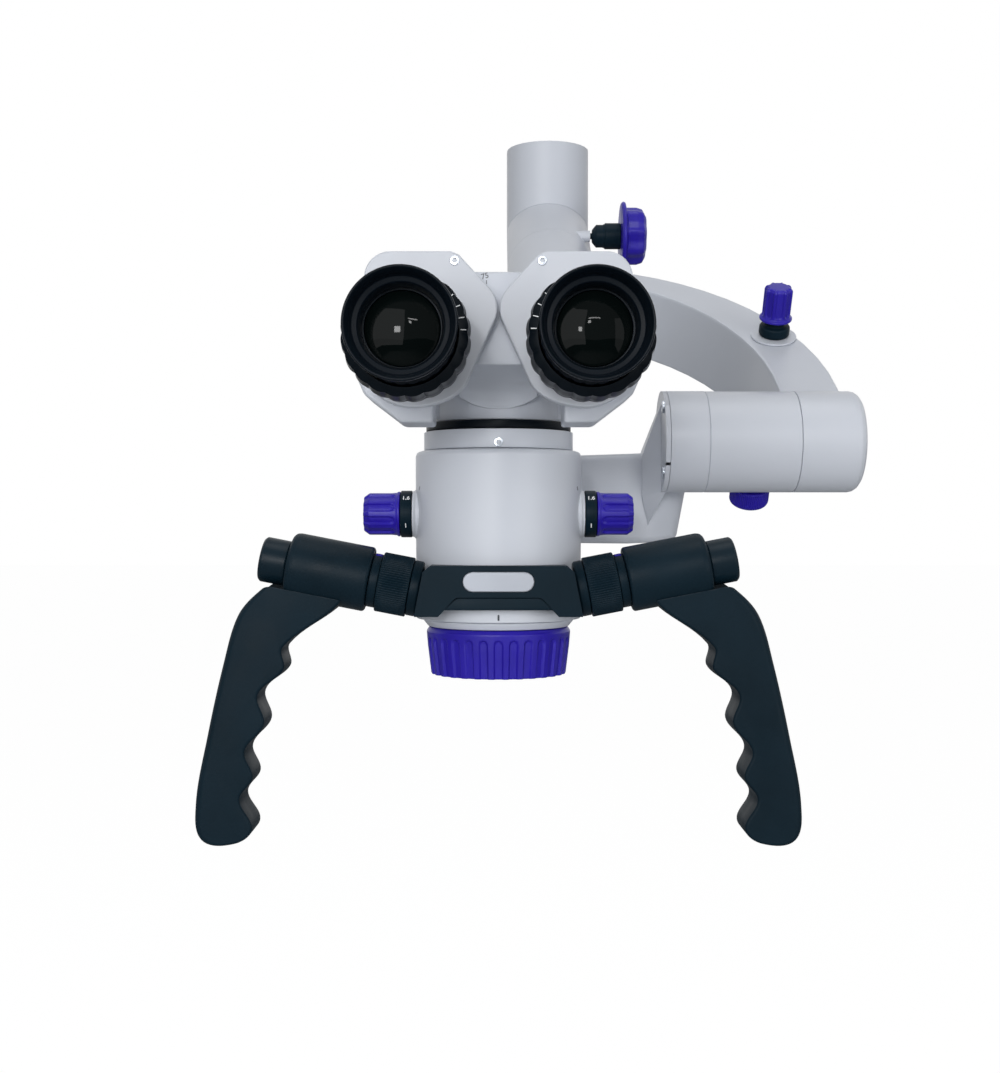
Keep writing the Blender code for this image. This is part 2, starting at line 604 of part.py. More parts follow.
def head_bracket(head):
    """The bar behind the head, its foot on the body and the tapered web up to the tilt flange."""
    low = Vector((BRACKET_LEFT, BRACKET_FRONT, BRACKET_BOTTOM))
    high = Vector((BRACKET_RIGHT, BRACKET_BACK, BRACKET_TOP))
    bar = node("head_bracket", box(low, high, 3 * MM), "white_enamel", head, Vector())
    foot_low = Vector((-BRACKET_FOOT, 0.6 * BODY_RADIUS, BRACKET_BOTTOM + 2 * MM))
    foot_high = Vector((BRACKET_FOOT, BRACKET_FRONT + 8 * MM, BRACKET_TOP - 2 * MM))
    change(bar, "UNION", "bracket_foot", box(foot_low, foot_high, 2 * MM), Vector())
    web = bmesh.new()
    for y, z in arc((TILT_Y, TILT_Z), TILT_RADIUS, 0, 360 - 360 / LARGE, LARGE - 1):
        web.verts.new((TILT_FLANGE_X, y, z))
    inset = 3 * MM
    for x in (BRACKET_WEB_X, BRACKET_RIGHT - inset):
        for y in (BRACKET_FRONT + inset, BRACKET_BACK - inset):
            for z in (BRACKET_BOTTOM + inset, BRACKET_TOP - inset):
                web.verts.new((x, y, z))
    hull = bmesh.ops.convex_hull(web, input=web.verts)
    loose = [g for g in hull["geom_interior"] if isinstance(g, bmesh.types.BMVert)]
    bmesh.ops.delete(web, geom=loose, context="VERTS")
    bmesh.ops.recalc_face_normals(web, faces=web.faces)
    change(bar, "UNION", "bracket_web", web, Vector())
    seat = rod(TILT_RADIUS + SEAT, TILT_FLANGE_X, TILT_HOUSING_X + OVERCUT, LARGE)
    change(bar, "DIFFERENCE", "bracket_flange_seat", seat, TILT_AXIS_POINT, along(RIGHT))
    body = rod(BODY_RADIUS + SEAT, BODY_BOTTOM - OVERCUT, BODY_TOP + OVERCUT, LARGE)
    change(bar, "DIFFERENCE", "bracket_body_seat", body, Vector())


def head_body(head):
    """The main shell with the shaft bosses, and the collar and dovetail ring on top of it."""
    inner = BODY_RADIUS - BODY_WALL
    shoulder = arc((BODY_RADIUS - BODY_SHOULDER, BODY_TOP - BODY_SHOULDER), BODY_SHOULDER, 90, 0, 3)
    profile = [
        (LIGHT_BORE, BODY_TOP), *shoulder, (BODY_RADIUS - 0.4 * MM, BODY_BOTTOM),
        (SLEEVE_RADIUS, BODY_BOTTOM),
        (SLEEVE_RADIUS, BODY_BOTTOM + BODY_WALL), (inner, BODY_BOTTOM + BODY_WALL),
        (inner, BODY_TOP - BODY_WALL),
        (LIGHT_BORE, BODY_TOP - BODY_WALL),
    ]
    shell = node("body_shell", turned(profile, LARGE), "white_enamel", head, Vector())
    middle = Vector((0, 0, DIAL_Z))
    for side, sign in SIDES.items():
        boss = rod(BOSS_RADIUS, inner + 1 * MM, BOSS_END, MIDDLE)
        change(shell, "UNION", side + "_boss", boss, middle, along(RIGHT * sign))
    bore = rod(SHAFT_RADIUS + RUNNING, -BOSS_END - OVERCUT, BOSS_END + OVERCUT, 16)
    change(shell, "DIFFERENCE", "shaft_bore", bore, middle, along(RIGHT))
    low = BODY_TOP + SEAT
    high = low + COLLAR_HEIGHT
    collar = washer(COLLAR_RADIUS, LIGHT_BORE, low, high, 0.5 * MM, LARGE)
    node("body_collar", collar, "white_enamel", head, Vector())
    low = high + SEAT
    ring = washer(DOVETAIL_RADIUS, LIGHT_BORE, low, low + DOVETAIL_HEIGHT, 0.3 * MM, LARGE)
    node("dovetail_ring", ring, "black_anodised", head, Vector())


def objective(head):
    """The lower ring with its sleeve, the blue focus ring round it and the lens cell sliding inside."""
    top = BODY_BOTTOM - SEAT
    low = top - LOWER_RING_HEIGHT
    cell_radius = SLEEVE_RADIUS - 1.8 * MM
    profile = [
        (SLEEVE_RADIUS - 1.5 * MM, top), (LOWER_RING_RADIUS, top), (LOWER_RING_RADIUS, top - 0.8 * MM),
        (LOWER_RING_RADIUS - 1.9 * MM, low), (SLEEVE_RADIUS, low), (SLEEVE_RADIUS, low - SLEEVE_LENGTH),
        (SLEEVE_RADIUS - 1.5 * MM, low - SLEEVE_LENGTH),
    ]
    node("lower_body_ring", turned(profile, LARGE), "white_enamel", head, Vector())
    ring_top = low - SEAT
    bottom = ring_top - FOCUS_LENGTH
    turning = pivot("focus_ring_pivot", Vector((0, 0, ring_top)), head)
    bore = SLEEVE_RADIUS + RUNNING
    band = ring_top - FOCUS_BAND
    ring = [
        (bore, ring_top), (FOCUS_RADIUS - 1 * MM, ring_top), (FOCUS_RADIUS, ring_top - 1.5 * MM),
        (FOCUS_RADIUS - 0.1 * MM, ring_top - 3 * MM), (FOCUS_RADIUS - 0.5 * MM, band),
        (FOCUS_RADIUS - 0.7 * MM, band - 1.5 * MM), (FOCUS_LOW_RADIUS, bottom), (bore, bottom),
    ]
    shape = turned(ring, FOCUS_FLUTES * 3)
    fluted(shape, FOCUS_FLUTES, FOCUS_FLUTE_DEPTH, bottom - 1 * MM, band - 0.5 * MM, bore + 0.5 * MM, 1.6)
    node("focus_ring", shape, "blue_plastic", turning, Vector())
    sliding = pivot("objective_pivot", Vector((0, 0, bottom)), head)
    lower = bottom + FOCUS_TRAVEL + 0.5 * MM
    upper = lower + CELL_LENGTH
    bore = cell_radius - CELL_WALL
    cell = [
        (cell_radius, upper), (cell_radius, lower + 0.6 * MM), (cell_radius - 0.6 * MM, lower),
        (bore + 0.8 * MM, lower),
        (bore - 1 * MM, lower + 2 * MM), (bore - 1 * MM, lower + 3 * MM), (bore, lower + 3 * MM),
        (bore, upper),
    ]
    node("objective_cell", turned(cell, MIDDLE), "black_anodised", sliding, Vector())
    seat = lower + 3 * MM + SEAT
    glass = bore - SEAT
    lens = [(0, seat - 2 * MM), (glass * 0.5, seat - 1.5 * MM), (glass - 1.5 * MM, seat), (glass, seat)]
    lens += [(glass, seat + 3 * MM), (0, seat + 3 * MM)]
    node("objective_lens", turned(lens, MIDDLE), "coated_glass", sliding, Vector())


def magnification(head):
    """The lens drum across the head with a dial and a fluted knob at each end."""
    middle = Vector((0, 0, DIAL_Z))
    turning = pivot("magnification_pivot", middle, head)
    profile = [
        (0, SHAFT_END), (SHAFT_RADIUS, SHAFT_END), (SHAFT_RADIUS, DRUM_HALF), (DRUM_RADIUS, DRUM_HALF),
        (DRUM_RADIUS, -DRUM_HALF), (SHAFT_RADIUS, -DRUM_HALF), (SHAFT_RADIUS, -SHAFT_END),
        (0, -SHAFT_END),
    ]
    shape = turned(profile, SMALL)
    drum = node("magnification_drum", shape, "black_anodised", turning, middle, along(RIGHT))
    for side, sign in SIDES.items():
        bore = rod(DRUM_BORE, -DRUM_RADIUS - OVERCUT, DRUM_RADIUS + OVERCUT, 16)
        change(drum, "DIFFERENCE", side + "_drum_bore", bore, middle + RIGHT * sign * DRUM_BORE_X)
        turn = along(RIGHT * sign)
        inner = SHAFT_RADIUS + SEAT
        dial = washer(DIAL_RADIUS, inner, BOSS_END + RUNNING, DIAL_END, 0.4 * MM)
        node(side + "_magnification_dial", dial, "black_plastic", turning, middle, turn)
        low = DIAL_END + SEAT
        knob = [
            (inner, low), (KNOB_RADIUS + 0.5 * MM, low), (KNOB_RADIUS + 0.5 * MM, low + 1 * MM),
            (KNOB_RADIUS, low + 1.4 * MM), (KNOB_RADIUS, KNOB_END - 2 * MM),
            (KNOB_RADIUS - 0.8 * MM, KNOB_END - 0.5 * MM), (KNOB_RADIUS - 2 * MM, KNOB_END),
            (0, KNOB_END), (0, SHAFT_END + SEAT), (inner, SHAFT_END + SEAT),
        ]
        shape = turned(knob, KNOB_FLUTES * 3)
        fluted(shape, KNOB_FLUTES, 0.9 * MM, low + 1.2 * MM, KNOB_END - 1 * MM, inner + 1 * MM, 1.6)
        node(side + "_magnification_knob", shape, "blue_plastic", turning, middle, turn)


# Handles


def handle_mount(head):
    """The clamp ring round the body, the plate in front of it, its lower cover and the bare name plate."""
    inner = BODY_RADIUS + SEAT
    outer = inner + CLAMP_WALL
    clamp = washer(outer, inner, PLATE_BOTTOM + 1 * MM, PLATE_TOP - 1 * MM, 0.4 * MM, LARGE)
    strap = node("handle_clamp", clamp, "black_plastic", head, Vector())
    front = box(Vector((-outer, -outer, PLATE_BOTTOM)) * 1.2, Vector((outer * 1.2, PLATE_BACK + SEAT, 0)))
    change(strap, "DIFFERENCE", "clamp_front", front, Vector())
    rise = math.tan(HANDLE_RISE)
    top = HANDLE_X - (PLATE_TOP - HANDLE_Z) * rise
    bottom = HANDLE_X + (HANDLE_Z - PLATE_BOTTOM) * rise
    cut = PLATE_CHAMFER
    outline = [
        (-bottom, PLATE_BOTTOM), (bottom, PLATE_BOTTOM), (top + cut * rise, PLATE_TOP - cut),
        (top - cut, PLATE_TOP),
        (-top + cut, PLATE_TOP), (-top - cut * rise, PLATE_TOP - cut),
    ]
    shape = prism(outline, -PLATE_BACK, -PLATE_FRONT, 0.8 * MM, 2)
    plate = node("handle_plate", shape, "black_plastic", head, Vector(), facing())
    body = rod(inner, PLATE_BOTTOM - OVERCUT, PLATE_TOP + OVERCUT, LARGE)
    change(plate, "DIFFERENCE", "plate_body_seat", body, Vector())
    recess = [(-COVER_HALF - SEAT, COVER_BOTTOM), (COVER_HALF + SEAT, COVER_BOTTOM)]
    recess += [(COVER_TOP_HALF + SEAT, COVER_TOP + SEAT), (-COVER_TOP_HALF - SEAT, COVER_TOP + SEAT)]
    pocket = prism(recess, -PLATE_FRONT - COVER_THICKNESS - SEAT, -PLATE_FRONT + OVERCUT)
    change(plate, "DIFFERENCE", "plate_cover_pocket", pocket, Vector(), facing())
    trapezoid = [(-COVER_HALF, COVER_BOTTOM), (COVER_HALF, COVER_BOTTOM)]
    trapezoid += [(COVER_TOP_HALF, COVER_TOP), (-COVER_TOP_HALF, COVER_TOP)]
    cover = prism(trapezoid, -PLATE_FRONT - COVER_THICKNESS, -PLATE_FRONT + 0.6 * MM, 0.5 * MM, 1)
    node("plate_cover", cover, "black_plastic", head, Vector(), facing())
    half = PILL_HALF - PILL_RADIUS
    pill = arc((half, PILL_Z), PILL_RADIUS, -90, 90, 8) + arc((-half, PILL_Z), PILL_RADIUS, 90, 270, 8)
    badge = prism(pill, -PLATE_FRONT + SEAT, -PLATE_FRONT + SEAT + PILL_THICKNESS, 0.3 * MM, 1)
    node("name_plate", badge, "silver_plate", head, Vector(), facing())


def handle(side, sign, head):
    """One handle: the shaft fixed to the plate, the knurled collar, and the grip that turns on the shaft."""
    root = Vector((sign * HANDLE_X, HANDLE_Y, HANDLE_Z))
    axis = Vector((sign * math.cos(HANDLE_RISE), 0, math.sin(HANDLE_RISE)))
    turn = along(axis)
    inner = HANDLE_SHAFT_RADIUS + RUNNING
    shaft = [
        (0, SEAT), (ROOT_RING_RADIUS - 0.6 * MM, SEAT), (ROOT_RING_RADIUS, 0.9 * MM),
        (ROOT_RING_RADIUS, ROOT_RING_END),
        (HANDLE_SHAFT_RADIUS, ROOT_RING_END), (HANDLE_SHAFT_RADIUS, HANDLE_SHAFT_END),
        (0, HANDLE_SHAFT_END),
    ]
    node(side + "_handle_shaft", turned(shaft, MIDDLE), "black_plastic", head, root, turn)
    clamping = pivot(side + "_collar_pivot", root, head)
    low = ROOT_RING_END + SEAT
    knurl = [
        (inner, low), (KNURL_RADIUS, low), (KNURL_RADIUS, KNURL_END), (inner, KNURL_END),
    ]
    shape = turned(knurl, KNURL_RIBS * 2)
    fluted(shape, KNURL_RIBS, KNURL_DEPTH, low + 0.3 * MM, KNURL_END - 0.3 * MM, inner + 1 * MM)
    node(side + "_knurled_collar", shape, "black_plastic", clamping, root, turn)
    swinging = pivot(side + "_grip_pivot", root, head)
    ring = washer(INDEX_RADIUS, inner, KNURL_END + SEAT, INDEX_END)
    node(side + "_index_ring", ring, "black_plastic", swinging, root, turn)
    low = INDEX_END + SEAT
    rounding = arc((HOUSING_RADIUS - HOUSING_ROUND, HOUSING_END - HOUSING_ROUND), HOUSING_ROUND, 0, 90, 3)
    depth = HANDLE_SHAFT_END + SEAT
    housing = [(inner, low), (HOUSING_RADIUS - 0.8 * MM, low), (HOUSING_RADIUS, low + 0.8 * MM), *rounding]
    housing += [(0, HOUSING_END), (0, depth), (inner, depth)]
    node(side + "_grip_housing", turned(housing, MIDDLE), "black_plastic", swinging, root, turn)
    cap = [
        (0, HOUSING_END + SEAT), (CAP_RADIUS, HOUSING_END + SEAT), (CAP_RADIUS, CAP_END - 1 * MM),
        (CAP_RADIUS - 1 * MM, CAP_END), (CAP_RADIUS - 3 * MM, CAP_END),
        (CAP_RADIUS - 3.6 * MM, CAP_END - 0.8 * MM),
        (0, CAP_END - 0.8 * MM),
    ]
    node(side + "_end_cap", turned(cap, SMALL), "black_plastic", swinging, root, turn)
    middle = Vector((0, HANDLE_Y, 0))
    grip = node(side + "_grip", grip_shape(sign), "black_plastic", swinging, middle, facing())
    seat = rod(HOUSING_RADIUS + SEAT, INDEX_END - OVERCUT, CAP_END + OVERCUT, MIDDLE)
    change(grip, "DIFFERENCE", side + "_grip_seat", seat, root, turn)


def grip_shape(sign):
    """The finger grip: a smooth closed outline with finger hollows, given thickness and rounded sides."""
    curve = bpy.data.curves.new("grip_outline", "CURVE")
    curve.dimensions = "2D"
    curve.fill_mode = "BOTH"
    curve.resolution_u = 3
    curve.extrude = GRIP_HALF - GRIP_ROUND
    curve.bevel_depth = GRIP_ROUND
    curve.bevel_resolution = 1
    curve.offset = -GRIP_ROUND
    spline = curve.splines.new("BEZIER")
    spline.bezier_points.add(len(GRIP_OUTLINE) - 1)
    spline.use_cyclic_u = True
    for point, (x, z) in zip(spline.bezier_points, GRIP_OUTLINE):
        point.co = (sign * x * MM, z * MM, 0)
        point.handle_left_type = "AUTO"
        point.handle_right_type = "AUTO"
    maker = bpy.data.objects.new("grip_maker", curve)
    bpy.context.collection.objects.link(maker)
    bpy.context.view_layer.update()
    mesh = bpy.data.meshes.new_from_object(maker.evaluated_get(bpy.context.evaluated_depsgraph_get()))
    shape = bmesh.new()
    shape.from_mesh(mesh)
    bmesh.ops.remove_doubles(shape, verts=shape.verts, dist=0.01 * MM)
    bmesh.ops.recalc_face_normals(shape, faces=shape.faces)
    bpy.data.objects.remove(maker)
    bpy.data.curves.remove(curve)
    bpy.data.meshes.remove(mesh)
    return shape


# Binocular


def binocular(head):
    """The neck with its two cheeks, and the body that tilts between them."""
    low = BODY_TOP + COLLAR_HEIGHT + DOVETAIL_HEIGHT + 3 * SEAT
    saddle = BINO_TILT_Z - BINO_DRUM_RADIUS - RUNNING
    base = washer(NECK_RADIUS, LIGHT_BORE - 6 * MM, low, NECK_SIDE_TOP, 0.3 * MM, LARGE)
    neck = node("binocular_neck", base, "white_enamel", head, Vector())
    tilt_point = Vector((0, 0, BINO_TILT_Z))
    cheek_inner = BINO_DRUM_HALF + RUNNING
    reach = NECK_RADIUS + OVERCUT
    hollow = rod(NECK_SADDLE_RADIUS, -reach, reach, LARGE)
    hollow_point = Vector((0, 0, saddle + NECK_SADDLE_RADIUS))
    change(neck, "DIFFERENCE", "neck_saddle", hollow, hollow_point, along(FORWARD))
    seat = rod(BINO_DRUM_RADIUS + RUNNING, -cheek_inner, cheek_inner, LARGE)
    change(neck, "DIFFERENCE", "neck_drum_seat", seat, tilt_point, along(RIGHT))
    cheek_outer = NECK_RADIUS - 1.5 * MM
    for side, sign in SIDES.items():
        tall = arc((0, 0), NECK_CHEEK_RADIUS, 0, 180, 10)
        foot = low - BINO_TILT_Z + 1 * MM
        outline = [*tall, (-NECK_CHEEK_RADIUS, foot), (NECK_CHEEK_RADIUS, foot)]
        cheek = prism(outline, cheek_inner, cheek_outer, 0.6 * MM, 1)
        upright = Matrix(((0, 0, sign, 0), (sign, 0, 0, 0), (0, 1, 0, 0), (0, 0, 0, 1)))
        change(neck, "UNION", side + "_cheek", cheek, tilt_point, upright)
        pin = rod(NECK_PIN_RADIUS, BINO_DRUM_HALF - 4 * MM, cheek_inner + 2 * MM, 16)
        change(neck, "UNION", side + "_tilt_pin", pin, tilt_point, along(RIGHT * sign))
    tilting = pivot("binocular_pivot", tilt_point, head)
    hole = NECK_PIN_RADIUS + RUNNING
    depth = BINO_DRUM_HALF - 4 * MM - RUNNING
    drum = turned(
        [(hole, BINO_DRUM_HALF), (BINO_DRUM_RADIUS, BINO_DRUM_HALF), (BINO_DRUM_RADIUS, -BINO_DRUM_HALF),
         (hole, -BINO_DRUM_HALF), (hole, -depth), (0, -depth), (0, depth), (hole, depth)], LARGE
    )
    body = node("binocular_body", drum, "white_enamel", tilting, tilt_point, along(RIGHT))
    block = box(
        Vector((-BINO_BLOCK_HALF, BINO_BLOCK_FRONT, BINO_BLOCK_BOTTOM)),
        Vector((BINO_BLOCK_HALF, BINO_BACK_FRONT + 3 * MM, BINO_BLOCK_TOP)), 1 * MM
    )
    change(body, "UNION", "binocular_block", block, Vector())
    back = box(
        Vector((-BINO_BACK_HALF, BINO_BACK_FRONT, BINO_TILT_Z + NECK_CHEEK_RADIUS + 2 * MM)),
        Vector((BINO_BACK_HALF, BINO_DRUM_RADIUS - 6 * MM, BINO_BLOCK_TOP)), 3 * MM
    )
    change(body, "UNION", "binocular_back", back, Vector())
    return tilting, body


def prism_outline(sign):
    """The cover's outline: chamfered top, a corner round the pivot and a round lobe under the eyepiece."""
    lobe = (-PUPIL_HALF, EYE_Z)
    hinge = (-SWING_PIVOT_X, SWING_PIVOT_Z)
    points = [(-PRISM_NOTCH_X, PRISM_NOTCH_Z)]
    points += arc(hinge, PRISM_VERTEX_RADIUS, 42, -28, 4)
    points += arc(lobe, PRISM_LOBE_RADIUS, PRISM_LOBE_START, PRISM_LOBE_END, 16)
    points += arc((-PRISM_CORNER_X, PRISM_TOP - PRISM_CORNER_RADIUS), PRISM_CORNER_RADIUS, 180, 90, 4)
    points += [(-PRISM_TOP_END, PRISM_TOP)]
    return [(-sign * x, z) for x, z in points]


def prism_housing(side, sign, tilting, body):
    """One prism housing: the front cover with its pivot pin, the box behind it and the eyepiece tube."""
    hinge = Vector((sign * SWING_PIVOT_X, 0, SWING_PIVOT_Z))
    swinging = pivot(side + "_pupil_pivot", hinge, tilting)
    outline = prism_outline(sign)
    shape = prism(outline, -PRISM_PLATE_BACK, -PRISM_PLATE_FRONT, 1 * MM, 2)
    cover = node(side + "_prism_cover", shape, "white_enamel", swinging, Vector(), facing())
    pin = rod(PIVOT_PIN_RADIUS, -BINO_BLOCK_FRONT - PIVOT_PIN_DEPTH, -PRISM_PLATE_BACK + 2 * MM, 16)
    change(cover, "UNION", side + "_pupil_pin", pin, hinge, along(FORWARD))
    hole_end = -BINO_BLOCK_FRONT - PIVOT_PIN_DEPTH - RUNNING
    hole = rod(PIVOT_PIN_RADIUS + RUNNING, hole_end, OVERCUT - BINO_BLOCK_FRONT, 16)
    change(body, "DIFFERENCE", side + "_pupil_hole", hole, hinge, along(FORWARD))
    eye = Vector((sign * PUPIL_HALF, PRISM_PLATE_FRONT, EYE_Z))
    bore = rod(TUBE_RADIUS + SEAT, -TUBE_DEPTH, OVERCUT, MIDDLE)
    change(cover, "DIFFERENCE", side + "_tube_hole", bore, eye, along(FORWARD))
    corners = [(sign * x * MM, z * MM) for x, z in PRISM_CASE]
    case = prism(corners, -PRISM_BOX_BACK, -PRISM_PLATE_BACK - SEAT, 1.5 * MM, 2)
    node(side + "_prism_box", case, "white_enamel", swinging, Vector(), facing())
    eyepiece(side, swinging, eye)


def eyepiece(side, swinging, eye):
    """The fixed tube, the scalloped dioptre ring with its barrel and lens, and the sliding eyecup."""
    turn = along(FORWARD)
    wall = TUBE_RADIUS - TUBE_WALL
    flange = TUBE_FLANGE_THICKNESS
    tube = [
        (wall, SEAT - TUBE_DEPTH), (TUBE_RADIUS, SEAT - TUBE_DEPTH), (TUBE_RADIUS, SEAT),
        (TUBE_FLANGE, SEAT),
        (TUBE_FLANGE, flange), (TUBE_RADIUS, flange), (TUBE_RADIUS, TUBE_LENGTH), (wall, TUBE_LENGTH),
    ]
    node(side + "_eyepiece_tube", turned(tube), "black_anodised", swinging, eye, turn)
    turning = pivot(side + "_diopter_pivot", eye, swinging)
    inner = TUBE_RADIUS + RUNNING
    low = flange + RUNNING
    high = low + DIOPTER_BAND
    seat = LENS_RADIUS + SEAT
    shelf = BARREL_END - LENS_THICKNESS
    ring = [
        (inner, low), (DIOPTER_RADIUS - 1 * MM, low), (DIOPTER_RADIUS, low + 1 * MM),
        (DIOPTER_RADIUS, high - 1.5 * MM),
        (DIOPTER_RADIUS - 1 * MM, high), (BARREL_RADIUS, high + 1.5 * MM), (BARREL_RADIUS, BARREL_END),
        (seat, BARREL_END), (seat, shelf), (LENS_RADIUS - 1.5 * MM, shelf),
        (LENS_RADIUS - 1.5 * MM, shelf - 3 * MM),
        (inner, TUBE_LENGTH + 6 * MM),
    ]
    shape = turned(ring, DIOPTER_SCALLOPS * 3)
    fluted(shape, DIOPTER_SCALLOPS, 0.8 * MM, low + 0.5 * MM, high - 0.5 * MM, BARREL_RADIUS + 1 * MM, 0.7)
    node(side + "_diopter_ring", shape, "black_anodised", turning, eye, turn)
    low = shelf + SEAT
    lens = [(0, low), (LENS_RADIUS, low), (LENS_RADIUS, BARREL_END - 1 * MM)]
    lens += [(LENS_RADIUS * 0.7, BARREL_END + 0.4 * MM), (LENS_RADIUS * 0.35, BARREL_END + 1.1 * MM)]
    lens += [(0, BARREL_END + 1.3 * MM)]
    node(side + "_eye_lens", turned(lens, SMALL), "coated_glass", turning, eye, turn)
    sliding = pivot(side + "_eyecup_pivot", eye + FORWARD * CUP_END, turning)
    bore = BARREL_RADIUS + RUNNING
    step = BARREL_END + 2 * MM
    cup = [
        (bore, CUP_START), (CUP_WAIST_RADIUS - 0.4 * MM, CUP_START),
        (CUP_WAIST_RADIUS, CUP_START + 1 * MM),
        (CUP_WAIST_RADIUS + 0.3 * MM, CUP_END - 8 * MM), (CUP_RIM_RADIUS, CUP_END - 2.5 * MM),
        (CUP_RIM_RADIUS, CUP_END - 0.8 * MM), (CUP_RIM_RADIUS - 0.8 * MM, CUP_END),
        (CUP_RIM_RADIUS - 1.8 * MM, CUP_END), (CUP_LIP_RADIUS, CUP_END - 1.5 * MM),
        (CUP_LIP_RADIUS, CUP_END - 6 * MM),
        (CUP_INNER_RADIUS, CUP_END - 6.5 * MM), (CUP_INNER_RADIUS - 0.5 * MM, step), (bore, step),
    ]
    node(side + "_eyecup", turned(cup), "black_rubber", sliding, eye, turn)


def build():
    """Clears the scene and models the microscope from the column down to the eyecups."""
    for thing in list(bpy.data.objects):
        bpy.data.objects.remove(thing)
    fixed = pivot("column_base", ORIGIN)
    column(fixed)
    elbow(fixed)
    swing_lock(fixed)
    swinging = pivot("arm_swing_pivot", ELBOW, fixed)
    curved_arm(swinging)
    arm_lock(swinging)
    tilt_joint(swinging)
    head = pivot("head_tilt_pivot", TILT_AXIS_POINT, swinging)
    tilt_flange(head)
    head_bracket(head)
    head_body(head)
    objective(head)
    magnification(head)
    handle_mount(head)
    for side, sign in SIDES.items():
        handle(side, sign, head)
    tilting, body = binocular(head)
    for side, sign in SIDES.items():
        prism_housing(side, sign, tilting, body)


build()
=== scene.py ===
"""Looks of the dental surgical microscope: materials, fine detail, floor, lights and camera.

Places are written in head coordinates, in millimetres: X to the right, Y away from the operator
and Z up, with the origin on the optical axis. ORIGIN turns them into the frame's own coordinates,
whose origin is the column's top.
"""

import json
import math

import bmesh
import bpy
from mathutils import Matrix, Vector

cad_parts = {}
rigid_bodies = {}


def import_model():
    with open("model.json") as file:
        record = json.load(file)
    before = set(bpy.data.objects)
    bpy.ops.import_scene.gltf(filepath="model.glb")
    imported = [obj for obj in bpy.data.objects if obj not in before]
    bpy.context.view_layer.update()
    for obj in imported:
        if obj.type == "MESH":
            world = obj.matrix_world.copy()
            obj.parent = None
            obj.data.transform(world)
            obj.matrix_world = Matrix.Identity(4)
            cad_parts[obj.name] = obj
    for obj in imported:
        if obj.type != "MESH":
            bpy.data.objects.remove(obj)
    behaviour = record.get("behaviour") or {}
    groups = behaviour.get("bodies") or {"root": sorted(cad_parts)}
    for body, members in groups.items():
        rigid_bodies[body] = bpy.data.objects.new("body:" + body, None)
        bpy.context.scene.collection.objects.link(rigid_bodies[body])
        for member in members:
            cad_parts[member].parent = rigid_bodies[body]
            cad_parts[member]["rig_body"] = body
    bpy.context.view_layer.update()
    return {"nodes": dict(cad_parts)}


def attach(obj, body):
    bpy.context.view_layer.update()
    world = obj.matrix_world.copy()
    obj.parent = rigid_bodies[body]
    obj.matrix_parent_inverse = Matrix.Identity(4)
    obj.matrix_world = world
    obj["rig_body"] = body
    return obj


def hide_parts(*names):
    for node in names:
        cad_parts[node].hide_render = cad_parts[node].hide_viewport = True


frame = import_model()

MM = 0.001
ORIGIN = Vector((31.4, 298, 237))
RIGHT = Vector((1, 0, 0))
FORWARD = Vector((0, -1, 0))
UP = Vector((0, 0, 1))
SIDES = {"left": -1, "right": 1}
STANDING = Matrix.Rotation(math.pi / 2, 4, "X")

# Arm
SLOPE = math.radians(33)
ARM_DIRECTION = Vector((0, -math.cos(SLOPE), -math.sin(SLOPE)))
ARM_NORMAL = Vector((0, -math.sin(SLOPE), math.cos(SLOPE)))
ELBOW = Vector((31.4, 298, 183.6))
SWING_LOCK = ELBOW + ARM_DIRECTION * 47 + ARM_NORMAL * 17.5
ARM_LOCK = ELBOW + RIGHT * 110.5 + ARM_DIRECTION * 195.2 + ARM_NORMAL * 21

# Head
TILT_Y = 60
TILT_Z = 37.3
TILT_AXIS = Vector((0, TILT_Y, TILT_Z))
TILT_RADIUS = 23.8
TILT_SEAT = 24.1
BODY_SEAT = 35.7
DIAL_CENTRE = (0, 0, 3)
HANDLE_RISE = math.radians(11)

# Binocular
NECK_CENTRE = (0, 0, 73.7)
NECK_RADIUS = 27.9
EYE_X = 32.5
EYE_Z = 65

# Photograph's framing
EYE_DISTANCE = 600
FOCAL_PIXELS = 1400
FRAME_WIDTH = 1000
FRAME_HEIGHT = 1073
CENTRE_COLUMN = 498.5
EYE_LINE = 521
SENSOR = 36


def here(place):
    """A place in head coordinates as a place in the frame, in metres."""
    return (Vector(place) - ORIGIN) * MM


# Materials


